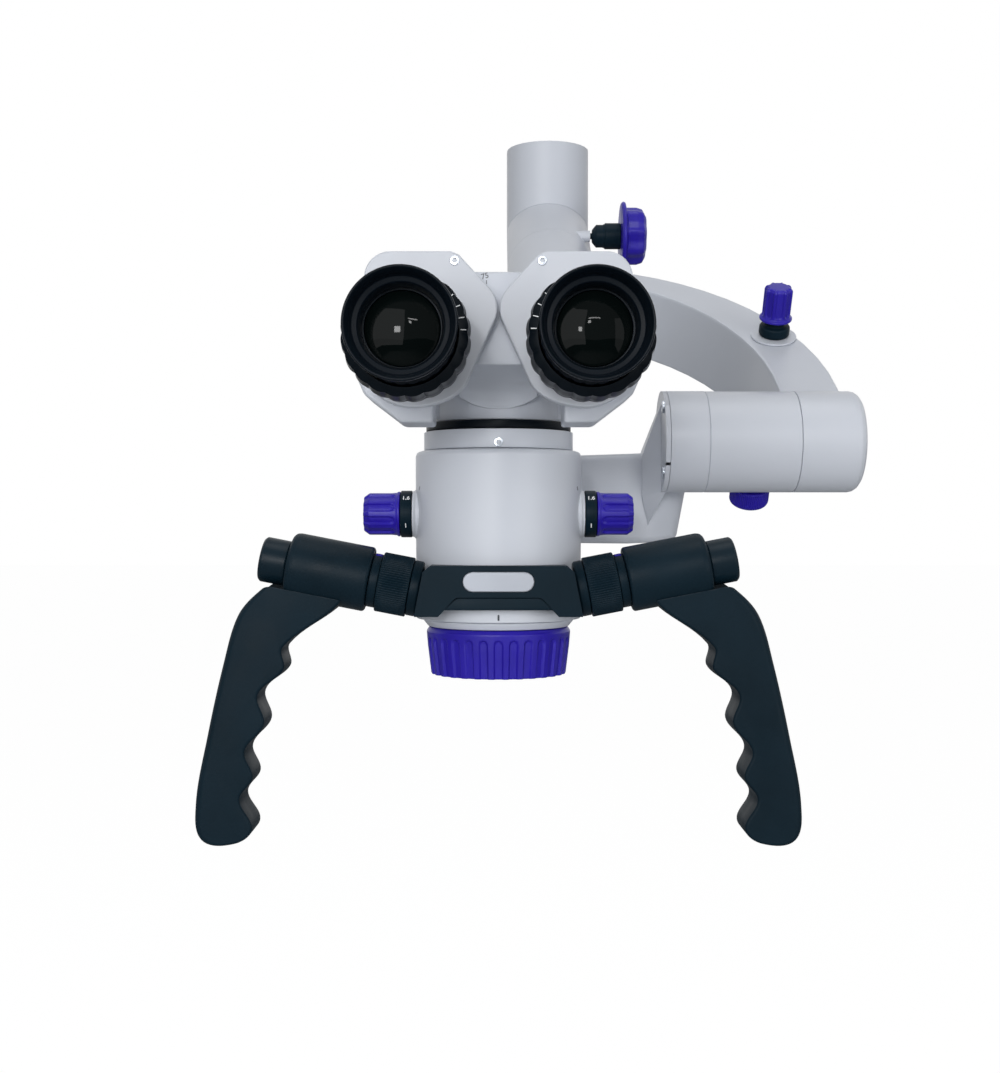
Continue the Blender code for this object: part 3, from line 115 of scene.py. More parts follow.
class Surface:
    """Builds one node material step by step around a Principled shader."""

    def __init__(self, name, colour, roughness, metallic=0.0):
        self.material = bpy.data.materials.new(name)
        self.material.use_nodes = True
        self.tree = self.material.node_tree
        self.shader = self.tree.nodes["Principled BSDF"]
        self.shader.inputs["Metallic"].default_value = metallic
        self.place = self.make("ShaderNodeTexCoord").outputs["Object"]
        self.colour = None
        self.base = colour
        self.roughness = roughness
        self.bump = None

    def make(self, kind, **values):
        node = self.tree.nodes.new(kind)
        for name, value in values.items():
            if hasattr(node, name):
                setattr(node, name, value)
            else:
                node.inputs[name.replace("_", " ")].default_value = value
        return node

    def link(self, source, target):
        self.tree.links.new(source, target)

    def set(self, name, value):
        self.shader.inputs[name].default_value = value
        return self

    def noise(self, scale, detail, stretch=None):
        """Cloudy noise with that many features to the metre, stretched along the axes if asked."""
        node = self.make("ShaderNodeTexNoise", Scale=scale, Detail=detail)
        place = self.place
        if stretch:
            mapping = self.make("ShaderNodeMapping")
            mapping.inputs["Scale"].default_value = stretch
            self.link(place, mapping.inputs["Vector"])
            place = mapping.outputs["Vector"]
        self.link(place, node.inputs["Vector"])
        return node.outputs["Fac"]

    def ramp(self, source, low, high, dark=0.0, light=1.0):
        """Source, stretched so that low becomes dark and high becomes light."""
        node = self.make(
            "ShaderNodeMapRange", From_Min=low, From_Max=high, To_Min=dark, To_Max=light
        )
        self.link(source, node.inputs["Value"])
        return node.outputs["Result"]

    def mix(self, factor, second):
        """Goes over to a second colour with the factor; returns the first one's socket."""
        node = self.make("ShaderNodeMix", data_type="RGBA")
        colours = [socket for socket in node.inputs if socket.type == "RGBA"]
        self.link(factor, node.inputs["Factor"])
        colours[1].default_value = (*second, 1)
        self.colour = [socket for socket in node.outputs if socket.type == "RGBA"][0]
        return colours[0]

    def tone(self, scale, spread):
        """Slow drifts of the base colour, spread to each side of it."""
        lighter = [min(1, part * (1 + spread)) for part in self.base]
        first = self.mix(self.ramp(self.noise(scale, 4), 0.3, 0.7), lighter)
        first.default_value = (*[part * (1 - spread) for part in self.base], 1)
        return self

    def edges(self, radius, amount, colour):
        """Worn edges with painted edge highlights: a lighter colour where a rounded normal leaves
        the true one, broken up by noise.
        """
        rounded = self.make("ShaderNodeBevel", samples=4, Radius=radius)
        flat = self.make("ShaderNodeNewGeometry")
        dot = self.make("ShaderNodeVectorMath", operation="DOT_PRODUCT")
        self.link(rounded.outputs["Normal"], dot.inputs[0])
        self.link(flat.outputs["Normal"], dot.inputs[1])
        edge = self.ramp(dot.outputs["Value"], 0.98, 0.8, 0, amount)
        product = self.make("ShaderNodeMath", operation="MULTIPLY")
        self.link(edge, product.inputs[0])
        self.link(self.ramp(self.noise(260, 5), 0.42, 0.62), product.inputs[1])
        unmarked_colour = self.colour
        self.link(unmarked_colour, self.mix(product.outputs["Value"], colour))
        return self

    def sheen_spread(self, scale, spread):
        """Roughness that drifts with handling."""
        low, high = max(0.02, self.roughness - spread), min(1, self.roughness + spread)
        drift = self.ramp(self.noise(scale, 5), 0.25, 0.75, low, high)
        self.link(drift, self.shader.inputs["Roughness"])
        return self

    def grain(self, height, strength, depth):
        """Adds one layer of relief, its depth in metres."""
        node = self.make("ShaderNodeBump", Strength=strength, Distance=depth)
        self.link(height, node.inputs["Height"])
        if self.bump:
            self.link(self.bump, node.inputs["Normal"])
        self.bump = node.outputs["Normal"]
        return self

    def pebbles(self, scale, strength, depth):
        """Moulded leather-like pebbles."""
        node = self.make("ShaderNodeTexVoronoi", feature="SMOOTH_F1", Scale=scale)
        self.link(self.place, node.inputs["Vector"])
        return self.grain(node.outputs["Distance"], strength, depth)

    def done(self):
        self.link(self.colour, self.shader.inputs["Base Color"])
        if self.bump:
            self.link(self.bump, self.shader.inputs["Normal"])
        return self.material


def enamel(name, colour, roughness):
    """Satin stoved enamel with faint orange peel and slightly rubbed edges, lightened as painted
    edge highlights.
    """
    surface = Surface(name, colour, roughness).tone(14, 0.025)
    # The lighter edge colour is rubbing and a painted edge highlight.
    surface.edges(0.0005, 0.35, (0.72, 0.74, 0.78))
    surface.grain(surface.noise(900, 2), 0.10, 0.00006)
    surface.grain(surface.noise(5200, 2), 0.06, 0.00002)
    return surface.set("Specular IOR Level", 0.3).sheen_spread(45, 0.06).done()


def moulded(name, colour, roughness, edge, specular=0.4, grain=0.12):
    """Moulded plastic with a fine spark-eroded grain."""
    # The edge colour is wear and a painted edge highlight.
    surface = Surface(name, colour, roughness).tone(60, 0.08).edges(0.0004, 0.4, edge)
    surface.grain(surface.noise(3800, 3), grain, 0.00004)
    return surface.set("Specular IOR Level", specular).sheen_spread(90, 0.07).done()


def pebbled(name, colour, roughness, scale, strength, specular):
    """Dark plastic or rubber with a pebble grain, polished on the crowns by hands."""
    surface = Surface(name, colour, roughness).tone(35, 0.14)
    # The edge colour is wear and a painted edge highlight.
    surface.edges(0.0006, 0.3, (0.06, 0.07, 0.08))
    surface.pebbles(scale, strength, 0.00012).grain(surface.noise(scale * 3, 2), 0.08, 0.00003)
    return surface.set("Specular IOR Level", specular).sheen_spread(70, 0.09).done()


def metal(name, colour, roughness, stretch, metallic=1.0):
    """Machined or brushed metal: long fine scratches along one direction."""
    surface = Surface(name, colour, roughness, metallic).tone(40, 0.05)
    # The bright edge colour is burnishing and a painted edge highlight.
    surface.edges(0.0003, 0.5, (0.85, 0.86, 0.88))
    surface.grain(surface.noise(2400, 3, stretch), 0.10, 0.00002)
    return surface.sheen_spread(160, 0.07).done()


def anodised(name, colour, roughness):
    """Black anodised aluminium, worn to a paler line on its edges, which also serves as a painted
    edge highlight.
    """
    surface = Surface(name, colour, roughness, 0.1).tone(50, 0.12)
    surface.edges(0.0003, 0.35, (0.05, 0.06, 0.075))
    surface.grain(surface.noise(2600, 3), 0.08, 0.00003)
    return surface.set("Specular IOR Level", 0.08).sheen_spread(110, 0.08).done()


def glass(name, colour):
    """Lens glass drawn as an opaque, nearly black surface: painted shade of the dark tube behind
    it, with very weak reflections.
    """
    surface = Surface(name, colour, 0.02).tone(30, 0.03)
    surface.grain(surface.noise(40, 1), 0.002, 0.00002)
    surface.set("Specular IOR Level", 0.045).set("IOR", 1.5)
    return surface.sheen_spread(300, 0.015).done()


BLUE = (0.020, 0.010, 0.34)
WHITE = (0.58, 0.61, 0.67)
INK = (0.0045, 0.0135, 0.0215)
# Lighter edge colour of the black plastics: wear and a painted edge highlight.
INK_EDGE = (0.02, 0.035, 0.05)
RUBBER = (0.004, 0.007, 0.011)
ANODISED = (0.0025, 0.005, 0.008)
FINISHES = {
    "white_enamel": enamel("white_enamel_satin", WHITE, 0.36),
    "blue_plastic": moulded("blue_plastic_moulded", BLUE, 0.38, (0.09, 0.07, 0.55), 0.28),
    "black_plastic": moulded("black_plastic_moulded", INK, 0.40, INK_EDGE, 0.06),
    "black_rubber": pebbled("black_rubber_matte", RUBBER, 0.5, 2600, 0.12, 0.08),
    "black_anodised": anodised("black_anodised_satin", ANODISED, 0.36),
    "silver_plate": metal("silver_plate_brushed", (0.30, 0.32, 0.36), 0.4, (1, 1, 14), 0.45),
    "machined_steel": metal("machined_steel_turned", (0.62, 0.63, 0.65), 0.28, (1, 14, 14)),
    # The lens colour is painted shade: the dark inside of the eyepiece seen through clear glass.
    "coated_glass": glass("lens_glass_painted_dark", (0.0015, 0.003, 0.003)),
}
GRAINED = pebbled("black_plastic_pebbled", INK, 0.44, 1300, 0.34, 0.08)
SATIN = moulded("black_plastic_satin", INK, 0.32, INK_EDGE, 0.10, 0.05)
# The eyecup's lighter edge colour is a painted highlight along its lip as well as wear.
EYECUP = moulded(
    "black_rubber_satin", (0.0025, 0.005, 0.0085), 0.38, (0.02, 0.028, 0.04), 0.10, 0.08
)
GRIP = pebbled("black_plastic_grip", INK, 0.46, 2400, 0.16, 0.07)
PRINT = moulded("white_print", (0.80, 0.82, 0.84), 0.5, (0.85, 0.86, 0.88))
DARK_PRINT = moulded("dark_print", (0.03, 0.035, 0.045), 0.5, (0.06, 0.06, 0.07))
GREY_PRINT = moulded("grey_print", (0.16, 0.17, 0.19), 0.5, (0.2, 0.2, 0.22))
ZINC = metal("zinc_screw", (0.50, 0.54, 0.60), 0.3, (14, 1, 1))


# Pieces


def along(direction):
    """The rotation that turns +Z to a direction."""
    return Vector(direction).to_track_quat("Z", "Y").to_matrix().to_4x4()


def axes(x, y, z):
    """The rotation whose axes are these three."""
    return Matrix((x, y, z)).transposed().to_4x4()


def mesh_of(name, shape):
    """A mesh made from a bmesh, which is used up."""
    mesh = bpy.data.meshes.new(name)
    shape.to_mesh(mesh)
    shape.free()
    return mesh


def put(name, data):
    """A new object in the scene."""
    thing = bpy.data.objects.new(name, data)
    bpy.context.scene.collection.objects.link(thing)
    return thing


def add(name, shape, finish, body, place=(0, 0, 0), turn=None, instead=(), smooth=35):
    """Turns a bmesh in millimetres into a piece in head coordinates, riding on a body."""
    spot = Matrix.Translation(Vector(place) - ORIGIN)
    shape.transform(Matrix.Scale(MM, 4) @ spot @ (turn or Matrix()))
    mesh = mesh_of(name, shape)
    mesh.materials.append(finish)
    mesh.shade_smooth()
    mesh.set_sharp_from_angle(angle=math.radians(smooth))
    thing = put(name, mesh)
    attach(thing, body)
    if instead:
        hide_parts(*instead)
    return thing


def slot_of(source):
    """The slot of a CAD node, without the number that a copy's name may carry."""
    return source.material_slots[0].material.name.split(".")[0]


REPLACED = set()


def stands_for(node, shape, place=(0, 0, 0), direction=None, finish=None, smooth=35):
    """A finer piece in place of one CAD node, on the same body and with its slot's finish unless
    another is given.
    """
    source = frame["nodes"][node]
    slot = slot_of(source)
    REPLACED.add(node)
    finish = finish or FINISHES[slot]
    turn = None if direction is None else along(direction)
    body = source["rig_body"]
    return add(node + "_fine", shape, finish, body, place, turn, (node,), smooth)


def evened(thing):
    """Lets the large faces set the shading of the narrow ones beside them."""
    normals = thing.modifiers.new("soft_edges", "WEIGHTED_NORMAL")
    normals.weight = 60
    normals.keep_sharp = True
    return thing


SEAM_GAP = 0.000002
DRESSED_CREASE = 30
EDGE_WIDTH = 0.3
EDGE_WIDTHS = {"curved_arm": 0.5, "tilt_housing": 0.12, "magnification_drum": 0}


def dress(name, width):
    """Stands a CAD node's own shape in the scene, its seams closed and its sharp edges broken."""
    source = frame["nodes"][name]
    slot = slot_of(source)
    shape = bmesh.new()
    shape.from_mesh(source.data)
    bmesh.ops.remove_doubles(shape, verts=shape.verts, dist=SEAM_GAP)
    melt(shape, 0.6)
    if width:
        break_creases(shape, width * MM, DRESSED_CREASE)
    mesh = mesh_of(name + "_dressed", shape)
    mesh.materials.append(FINISHES[slot])
    mesh.shade_smooth()
    thing = evened(put(name + "_dressed", mesh))
    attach(thing, source["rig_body"])
    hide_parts(name)


def dress_the_rest():
    """Dresses every CAD node that no detailed piece stands for."""
    for name in frame["nodes"]:
        if name not in REPLACED:
            dress(name, EDGE_WIDTHS.get(name, EDGE_WIDTH))


# Shapes

ROUND_STEPS = 3
SIDE_SHARE = 0.45
LOBE_FADE = 0.6
FIGURE_SHARE = 0.72


def sleeve(inner, outer, low, high):
    """The outline of a plain ring, or of a rod where the inner radius is 0."""
    return [(inner, low), (outer, low), (outer, high), (inner, high)]


def softened(profile, radius):
    """A (radius, height) profile with each corner that isn't on the axis rounded off."""
    points = [Vector(point) for point in profile]
    result = []
    for index, corner in enumerate(points):
        before, after = points[index - 1], points[(index + 1) % len(points)]
        if corner.x < 0.001:
            result.append(corner)
            continue
        back, ahead = before - corner, after - corner
        reach = min(radius, back.length * SIDE_SHARE, ahead.length * SIDE_SHARE)
        start, end = corner + back.normalized() * reach, corner + ahead.normalized() * reach
        for step in range(ROUND_STEPS + 1):
            t = step / ROUND_STEPS
            result.append(start * (1 - t) ** 2 + corner * 2 * t * (1 - t) + end * t**2)
    return [(point.x, point.y) for point in result]


def rows(profile, low, high, spacing):
    """The profile with extra points between two heights, so that a slot can be sunk there."""
    result = []
    for start, end in zip(profile, profile[1:] + profile[:1]):
        result.append(start)
        within = min(start[1], end[1]) < high and max(start[1], end[1]) > low
        if within and start[0] * end[0] > 0:
            count = int(abs(end[1] - start[1]) / spacing)
            for step in range(1, count):
                t = step / count
                radius = start[0] + (end[0] - start[0]) * t
                result.append((radius, start[1] + (end[1] - start[1]) * t))
    return result


def turned(profile, facets=96):
    """Spins a closed (radius, height) outline about Z. Points on the axis become poles."""
    shape = bmesh.new()
    rings = []
    for radius, height in profile:
        if radius < 0.001:
            rings.append([shape.verts.new((0, 0, height))])
            continue
        turns = [2 * math.pi * index / facets for index in range(facets)]
        places = [(radius * math.cos(t), radius * math.sin(t), height) for t in turns]
        rings.append([shape.verts.new(place) for place in places])
    for lower, upper in zip(rings, rings[1:] + rings[:1]):
        for index in range(facets):
            after = (index + 1) % facets
            corners = [lower[index % len(lower)], lower[after % len(lower)]]
            corners += [upper[after % len(upper)], upper[index % len(upper)]]
            corners = list(dict.fromkeys(corners))
            if len(corners) > 2:
                shape.faces.new(corners)
    bmesh.ops.recalc_face_normals(shape, faces=shape.faces)
    return shape


def tool(profile, place, direction, facets=96):
    """A turned shape at a place and along a direction, to cut with or to join on."""
    shape = turned(profile, facets)
    shape.transform(Matrix.Translation(place) @ along(direction))
    return shape


def skinned(rings):
    """A closed shape through rings that have the same number of points, its two ends capped."""
    shape = bmesh.new()
    loops = [[shape.verts.new(point) for point in ring] for ring in rings]
    for lower, upper in zip(loops, loops[1:]):
        for index, corner in enumerate(lower):
            after = (index + 1) % len(lower)
            shape.faces.new((corner, lower[after], upper[after], upper[index]))
    shape.faces.new(loops[0])
    shape.faces.new(list(reversed(loops[-1])))
    bmesh.ops.recalc_face_normals(shape, faces=shape.faces)
    return shape


def carve(shape, inside, low, high, share_at):
    """Draws the wall between two heights in towards Z by the share that share_at gives."""
    for vertex in shape.verts:
        radius = math.hypot(vertex.co.x, vertex.co.y)
        if radius > inside and low <= vertex.co.z <= high:
            angle = math.atan2(vertex.co.y, vertex.co.x)
            scale = 1 - share_at(radius, angle, vertex.co.z)
            vertex.co.x *= scale
            vertex.co.y *= scale
    return shape


def ribbed(shape, count, depth, low, high, inside):
    """Fine ribs all round the wall between two heights."""
    def share(radius, angle, _):
        return depth * (1 - abs(math.sin(count * angle / 2))) / radius

    return carve(shape, inside, low, high, share)


def lobes(shape, count, depth, low, high, inside):
    """Rounded lobes parted by sharp hollows all round the wall between two heights."""
    def share(radius, angle, height):
        wave = 1 - abs(math.sin(count * angle / 2))
        fade = min(1, (height - low) / LOBE_FADE, (high - height) / LOBE_FADE)
        return depth * wave**1.6 * fade / radius

    return carve(shape, inside, low, high, share)


def slotted(shape, count, depth, half_width, start, way, inside):
    """Straight slots with a round closed end at one height, running out the other way."""
    pitch = 2 * math.pi / count

    def share(radius, angle, height):
        across = ((angle + math.pi / 2 + pitch / 2) % pitch - pitch / 2) * radius
        distance = math.hypot(across, min((height - start) * way, 0))
        sunk = min(1, max(0, (half_width - distance) / (0.45 * half_width) + 0.5))
        return depth * sunk * sunk * (3 - 2 * sunk) / radius

    return carve(shape, inside, -math.inf, math.inf, share)


def screw(radius=1.85):
    """A small button screw with a hexagon socket, its rim at height 0."""
    socket = radius * 0.5
    levels = [
        (radius, -0.6, False), (radius, 0.1, False), (radius * 0.9, 0.3, False),
        (socket + 0.12, 0.38, True), (socket, 0.3, True), (socket, -0.5, True),
    ]
    rings = []
    for size, height, hexagonal in levels:
        ring = []
        for index in range(24):
            turn = math.radians(15 * index)
            flat_turn = math.radians(15 * (index % 4) - 30)
            corner = math.cos(flat_turn) / math.cos(math.radians(30)) if hexagonal else 1
            reach = size / corner
            ring.append((reach * math.cos(turn), reach * math.sin(turn), height))
        rings.append(ring)
    return skinned(rings)


def flat(outline, depth, height=0):
    """A plate of an XY outline, its face at a height and its back below it."""
    shape = bmesh.new()
    face = shape.faces.new([shape.verts.new((x, y, height)) for x, y in outline])
    raised = bmesh.ops.extrude_face_region(shape, geom=[face])["geom"]
    back = [item for item in raised if isinstance(item, bmesh.types.BMVert)]
    bmesh.ops.translate(shape, verts=back, vec=(0, 0, -depth))
    bmesh.ops.recalc_face_normals(shape, faces=shape.faces)
    return shape


def bevel(shape, edges, width, segments):
    """Rounds some edges of a shape."""
    bmesh.ops.bevel(
        shape, geom=edges, offset=width, segments=segments, profile=0.5, affect="EDGES"
    )


def round_rims(shape, width, segments):
    """Rounds the level edges, which are the rims of a plate."""
    rims = [e for e in shape.edges if abs(e.verts[0].co.z - e.verts[1].co.z) < 0.01]
    bevel(shape, rims, width, segments)


def break_creases(shape, width, crease):
    """Softly breaks the edges whose faces meet at more than that many degrees."""
    limit = math.radians(crease)
    sharp = [e for e in shape.edges if e.is_manifold and e.calc_face_angle(0) > limit]
    bmesh.ops.bevel(
        shape, geom=sharp, offset=width, segments=2, profile=0.5, affect="EDGES",
        clamp_overlap=True,
    )


def melt(shape, angle):
    """Joins faces that lie within that many degrees of each other."""
    limit = math.radians(angle)
    bmesh.ops.dissolve_limit(shape, angle_limit=limit, verts=shape.verts, edges=shape.edges)


def wrapped(points):
    """The convex shape round a cloud of points."""
    shape = bmesh.new()
    for point in points:
        shape.verts.new(point)
    hull = bmesh.ops.convex_hull(shape, input=shape.verts)
    loose = [item for item in hull["geom_interior"] if isinstance(item, bmesh.types.BMVert)]
    bmesh.ops.delete(shape, geom=loose, context="VERTS")
    melt(shape, 0.5)
    return shape


def cut(shape, cutter, operation="DIFFERENCE"):
    """The first bmesh less, joined with or limited to the second, by an exact Boolean."""
    things = [put("whole", mesh_of("whole", shape)), put("cutter", mesh_of("cutter", cutter))]
    boolean = things[0].modifiers.new("cut", "BOOLEAN")
    boolean.operation = operation
    boolean.solver = "EXACT"
    boolean.object = things[1]
    bpy.context.view_layer.update()
    mesh = settled(things[0])
    result = bmesh.new()
    result.from_mesh(mesh)
    for thing in things:
        bpy.data.objects.remove(thing)
    bpy.data.meshes.remove(mesh)
    return result


def settled(thing):
    """A new mesh of an object with its modifiers applied."""
    graph = bpy.context.evaluated_depsgraph_get()
    return bpy.data.meshes.new_from_object(thing.evaluated_get(graph))


def arc(centre, radius, start, end, steps):
    """Points along an arc, its angles in degrees."""
    turns = [math.radians(start + (end - start) * step / steps) for step in range(steps + 1)]
    return [(centre[0] + radius * math.cos(t), centre[1] + radius * math.sin(t)) for t in turns]


def mirrored(outline):
    """Half an outline and its mirror image, as one outline."""
    return outline + [(-x, y) for x, y in outline[::-1]]


def dash(width, length):
    """The outline of a short printed stroke with round ends."""
    half, middle = width / 2, (length - width) / 2
    turns = [math.radians(30 * index) for index in range(7)]
    top = [(half * math.cos(t), middle + half * math.sin(t)) for t in turns]
    return top + [(-x, -y) for x, y in top]


def letters(words, height):
    """Plain figures of that height as a thin bmesh, centred, reading along X."""
    curve = bpy.data.curves.new("figures", "FONT")
    curve.body = words
    curve.size = height / FIGURE_SHARE
    curve.align_x = "CENTER"
    curve.align_y = "CENTER"
    curve.offset = 0.03 * height
    curve.resolution_u = 6
    curve.extrude = 0.04
    thing = put("figures", curve)
    bpy.context.view_layer.update()
    mesh = settled(thing)
    shape = bmesh.new()
    shape.from_mesh(mesh)
    bmesh.ops.remove_doubles(shape, verts=shape.verts, dist=0.001)
    bpy.data.objects.remove(thing)
    bpy.data.curves.remove(curve)
    bpy.data.meshes.remove(mesh)
    return shape


def onto_upright(shape, radius, azimuth):
    """Wraps a flat print, X across and Y up, on an upright cylinder. 0 faces the operator."""
    for vertex in shape.verts:
        turn = math.radians(azimuth) + vertex.co.x / radius
        reach = radius + vertex.co.z
        vertex.co = Vector((reach * math.sin(turn), -reach * math.cos(turn), vertex.co.y))
    return shape


def onto_level(shape, radius, lift):
    """Wraps a flat print on a cylinder along X, turned up from the operator's side."""
    for vertex in shape.verts:
        turn = math.radians(lift) + vertex.co.y / radius
        reach = radius + vertex.co.z
        vertex.co = Vector((vertex.co.x, -reach * math.cos(turn), reach * math.sin(turn)))
    return shape


# Turned pieces


def focus_end():
    """The blue focus ring with thirty round-headed slots under its plain band."""
    profile = [
        (26.5, -44.9), (29.6, -44.9), (30.7, -46.6), (30.6, -47.9), (30.2, -52.9), (30, -54.4),
        (28.7, -64.9), (27.9, -64.9), (26.5, -64.0),
    ]
    shape = turned(rows(softened(profile, 0.5), -66, -48, 0.5), 540)
    slotted(shape, 30, 1.0, 1.65, -50.7, -1, 27.5)
    stands_for("focus_ring", shape, direction=UP)
    ring = [
        (24.7, -41.6), (31.9, -41.6), (31.9, -42.3), (30, -44.6), (26.2, -44.6), (26.2, -59.6),
        (24.7, -59.6),
    ]
    stands_for("lower_body_ring", turned(softened(ring, 0.3)), direction=UP)


def swing_lock_knob():
    """The large knob of the arm's swing, a rounded cap with eight shallow lobes over a flange."""
    low, radius, wall = 42.5, 17.3, 45.1
    profile = [
        (0, low), (19.4, low), (20.6, low + 1.2), (20.3, low + 2.4), (17.5, low + 3.1),
        (radius, low + 4), (radius, 52.1), (16.2, 55.5), (12.6, 57.4), (0, 57.4),
    ]

    def share(_, angle, height):
        wave = 0.5 - 0.5 * math.cos(8 * angle)
        return 1.8 * wave * min(1, (height - low - 2.6) / 1.2) / radius

    shape = turned(rows(softened(profile, 0.6), wall, 58, 0.7), 288)
    stands_for("swing_lock_knob", carve(shape, 8, wall, math.inf, share), SWING_LOCK, RIGHT)


def arm_lock_knob():
    """The small slotted knob of the arm's lock: thin flange, straight wall, rounded crown."""
    low, high, radius, flange, crown = 10.4, 28.1, 7.2, 8.3, 1.6
    profile = [
        (0, low), (flange, low), (flange, low + 1.1), (radius + 0.3, low + 1.7),
        (radius, low + 2.2), (radius, high - crown), (radius - crown * 0.45, high - crown * 0.25),
        (radius - crown, high), (0, high),
    ]
    shape = turned(rows(softened(profile, 0.4), 12, 29, 0.6), 256)
    slotted(shape, 8, 0.85, 1.9, 14.6, 1, 4)
    stands_for("arm_lock_knob", shape, ARM_LOCK, ARM_NORMAL)


def tilt_friction_knob():
    """The ribbed knob under the tilt cylinder."""
    profile = [
        (0, 24.1), (8.6, 24.1), (9.4, 24.9), (9.4, 31.6), (8.9, 32.8), (7.6, 33.5), (0, 33.5),
    ]
    shape = turned(rows(softened(profile, 0.4), 24.5, 33.4, 0.8), 384)
    ribbed(shape, 64, 0.35, 24.4, 33.2, 7)
    stands_for("tilt_friction_knob", shape, TILT_AXIS + RIGHT * 121, -ARM_NORMAL)


def magnification_knobs():
    """The two slotted knobs of the magnification changer."""
    profile = [
        (0, 50.3), (4.3, 50.3), (4.3, 41.9), (9.6, 41.9), (9.6, 42.9), (9.1, 43.4), (9.1, 55),
        (7.4, 57.4), (0, 57.4),
    ]
    for side, sign in SIDES.items():
        shape = turned(rows(softened(profile, 0.4), 43, 58.2, 0.5), 320)
        slotted(shape, 10, 0.8, 1.55, 45.9, 1, 5)
        stands_for(side + "_magnification_knob", shape, DIAL_CENTRE, RIGHT * sign)


def dials():
    """The two black dials with five plain magnification figures each."""
    for side, sign in SIDES.items():
        shape = turned(softened(sleeve(4.3, 10, 36.9, 41.6), 0.35))
        stands_for(side + "_magnification_dial", shape, DIAL_CENTRE, RIGHT * sign)
        place = (sign * 39.2, 0, DIAL_CENTRE[2])
        for index, words in enumerate(["1.6", "2.5", "0.4", "0.6", "1"]):
            shape = onto_level(letters(words, 2.0), 10.05, 42 + 72 * index)
            name = f"{side}_dial_figure_{index}"
            add(name, shape, PRINT, "magnification", place)


def eyepieces():
    """Dioptre rings with fine scallops and white ticks, turned eyecups, and the eye lenses."""
    barrel = [
        (15.3, 29.5), (21.8, 29.5), (22.8, 30.5), (23, 38), (22.2, 47), (18.9, 48.6),
        (18.9, 33.5), (16.6, 33.5), (16.6, 57.5), (13, 57.5), (13, 53), (11.2, 53), (11.2, 50),
        (15.3, 48),
    ]
    cup = [
        (16.9, 34), (17.6, 34), (18, 35), (18, 48.2), (18.3, 48.8), (18.3, 51.2), (17.4, 51.8),
        (17.3, 54), (17.6, 61), (18.4, 67), (19.2, 69.3), (19.3, 71.1), (19.1, 71.8), (18.7, 72),
        (18.3, 71.8), (17.3, 69), (16.7, 66), (16.4, 65.2), (14.8, 64.8), (14.5, 64.2),
        (13.5, 59.5), (16.9, 59.5),
    ]
    tube = [
        (12.8, -3.7), (15, -3.7), (15, 0.3), (19, 0.3), (19, 4), (17.8, 4.6), (17.8, 29.2),
        (15, 29.2), (15, 42), (12.8, 42),
    ]
    lens = [
        (0, 53.3), (12.7, 53.3), (12.7, 57), (11, 57.4), (8.9, 57.9), (6, 58.5), (3, 58.75),
        (0, 58.8),
    ]
    for side, sign in SIDES.items():
        eye = (sign * EYE_X, -70, EYE_Z)
        shape = turned(rows(softened(barrel, 0.25), 30.5, 46.6, 1.2), 400)
        lobes(shape, 20, 0.9, 30, 47.3, 20)
        stands_for(side + "_diopter_ring", shape, eye, FORWARD, smooth=50)
        shape = turned(rows(softened(cup, 0.2), 48.8, 51.2, 0.5), 400)
        lobes(shape, 25, 1.1, 48.3, 51.5, 17.2)
        stands_for(side + "_eyecup", shape, eye, FORWARD, EYECUP)
        stands_for(side + "_eyepiece_tube", turned(softened(tube, 0.25)), eye, FORWARD)
        stands_for(side + "_eye_lens", turned(lens), eye, FORWARD, smooth=60)
        diopter_ticks(side, sign, eye)


def diopter_ticks(side, sign, eye):
    """Seven white strokes on the ring's cone, in an arc that starts beside the nose."""
    for index in range(7):
        turn = math.radians(11.8 * index + 2.5 if sign < 0 else 176.2 - 12 * index)
        outward = Vector((math.cos(turn), 0, math.sin(turn)))
        normal = (outward * 1.5 + FORWARD * 3.2).normalized()
        tangent = Vector((-math.sin(turn), 0, math.cos(turn)))
        place = Vector(eye) + outward * 20.4 + FORWARD * 47.87 + normal * 0.08
        stroke = flat(dash(0.32, 2.2), 0.15)
        name = f"{side}_diopter_tick_{index}"
        lie = axes(tangent, normal.cross(tangent), normal)
        add(name, stroke, PRINT, side + "_diopter", place, lie)


def handles():
    """Shafts, ribbed collars, index rings with their blue band, housings, end caps and grips."""
    shaft = [(0, 0.3), (10.8, 0.3), (11.4, 0.9), (11.4, 4.2), (6, 4.2), (6, 50), (0, 50)]
    collar = [(6.3, 4.5), (12, 4.5), (12.25, 4.8), (12.25, 16.8), (12, 17.1), (6.3, 17.1)]
    housing = [
        (6.3, 21.1), (12.6, 21.1), (13.3, 21.9), (13.3, 51.9), (12.9, 53.6), (11.8, 54.6),
        (10.3, 54.9), (0, 54.9), (0, 50.3), (6.3, 50.3),
    ]
    cap = [
        (0, 55.2), (9, 55.2), (9.25, 55.6), (9.25, 65.1), (8.3, 66.1), (6.4, 66.1), (5.9, 65.5),
        (0, 65.3),
    ]
    for side, sign in SIDES.items():
        root = Vector((sign * 31.8, -27, -28))
        axis = Vector((sign * math.cos(HANDLE_RISE), 0, math.sin(HANDLE_RISE)))
        stands_for(side + "_handle_shaft", turned(softened(shaft, 0.3)), root, axis)
        shape = ribbed(turned(rows(collar, 5, 16.6, 1.5), 456), 76, 0.35, 4.9, 16.7, 7)
        stands_for(side + "_knurled_collar", shape, root, axis, smooth=25)
        shape = turned(softened(sleeve(6.3, 11, 17.4, 20.8), 0.2))
        stands_for(side + "_index_ring", shape, root, axis)
        index_band(side, sign, root, axis)
        shape = turned(rows(softened(housing, 0.5), 22, 52, 3))
        stands_for(side + "_grip_housing", shape, root, axis, GRAINED)
        stands_for(side + "_end_cap", turned(softened(cap, 0.3)), root, axis, SATIN)
        grip(side, sign, root, axis)


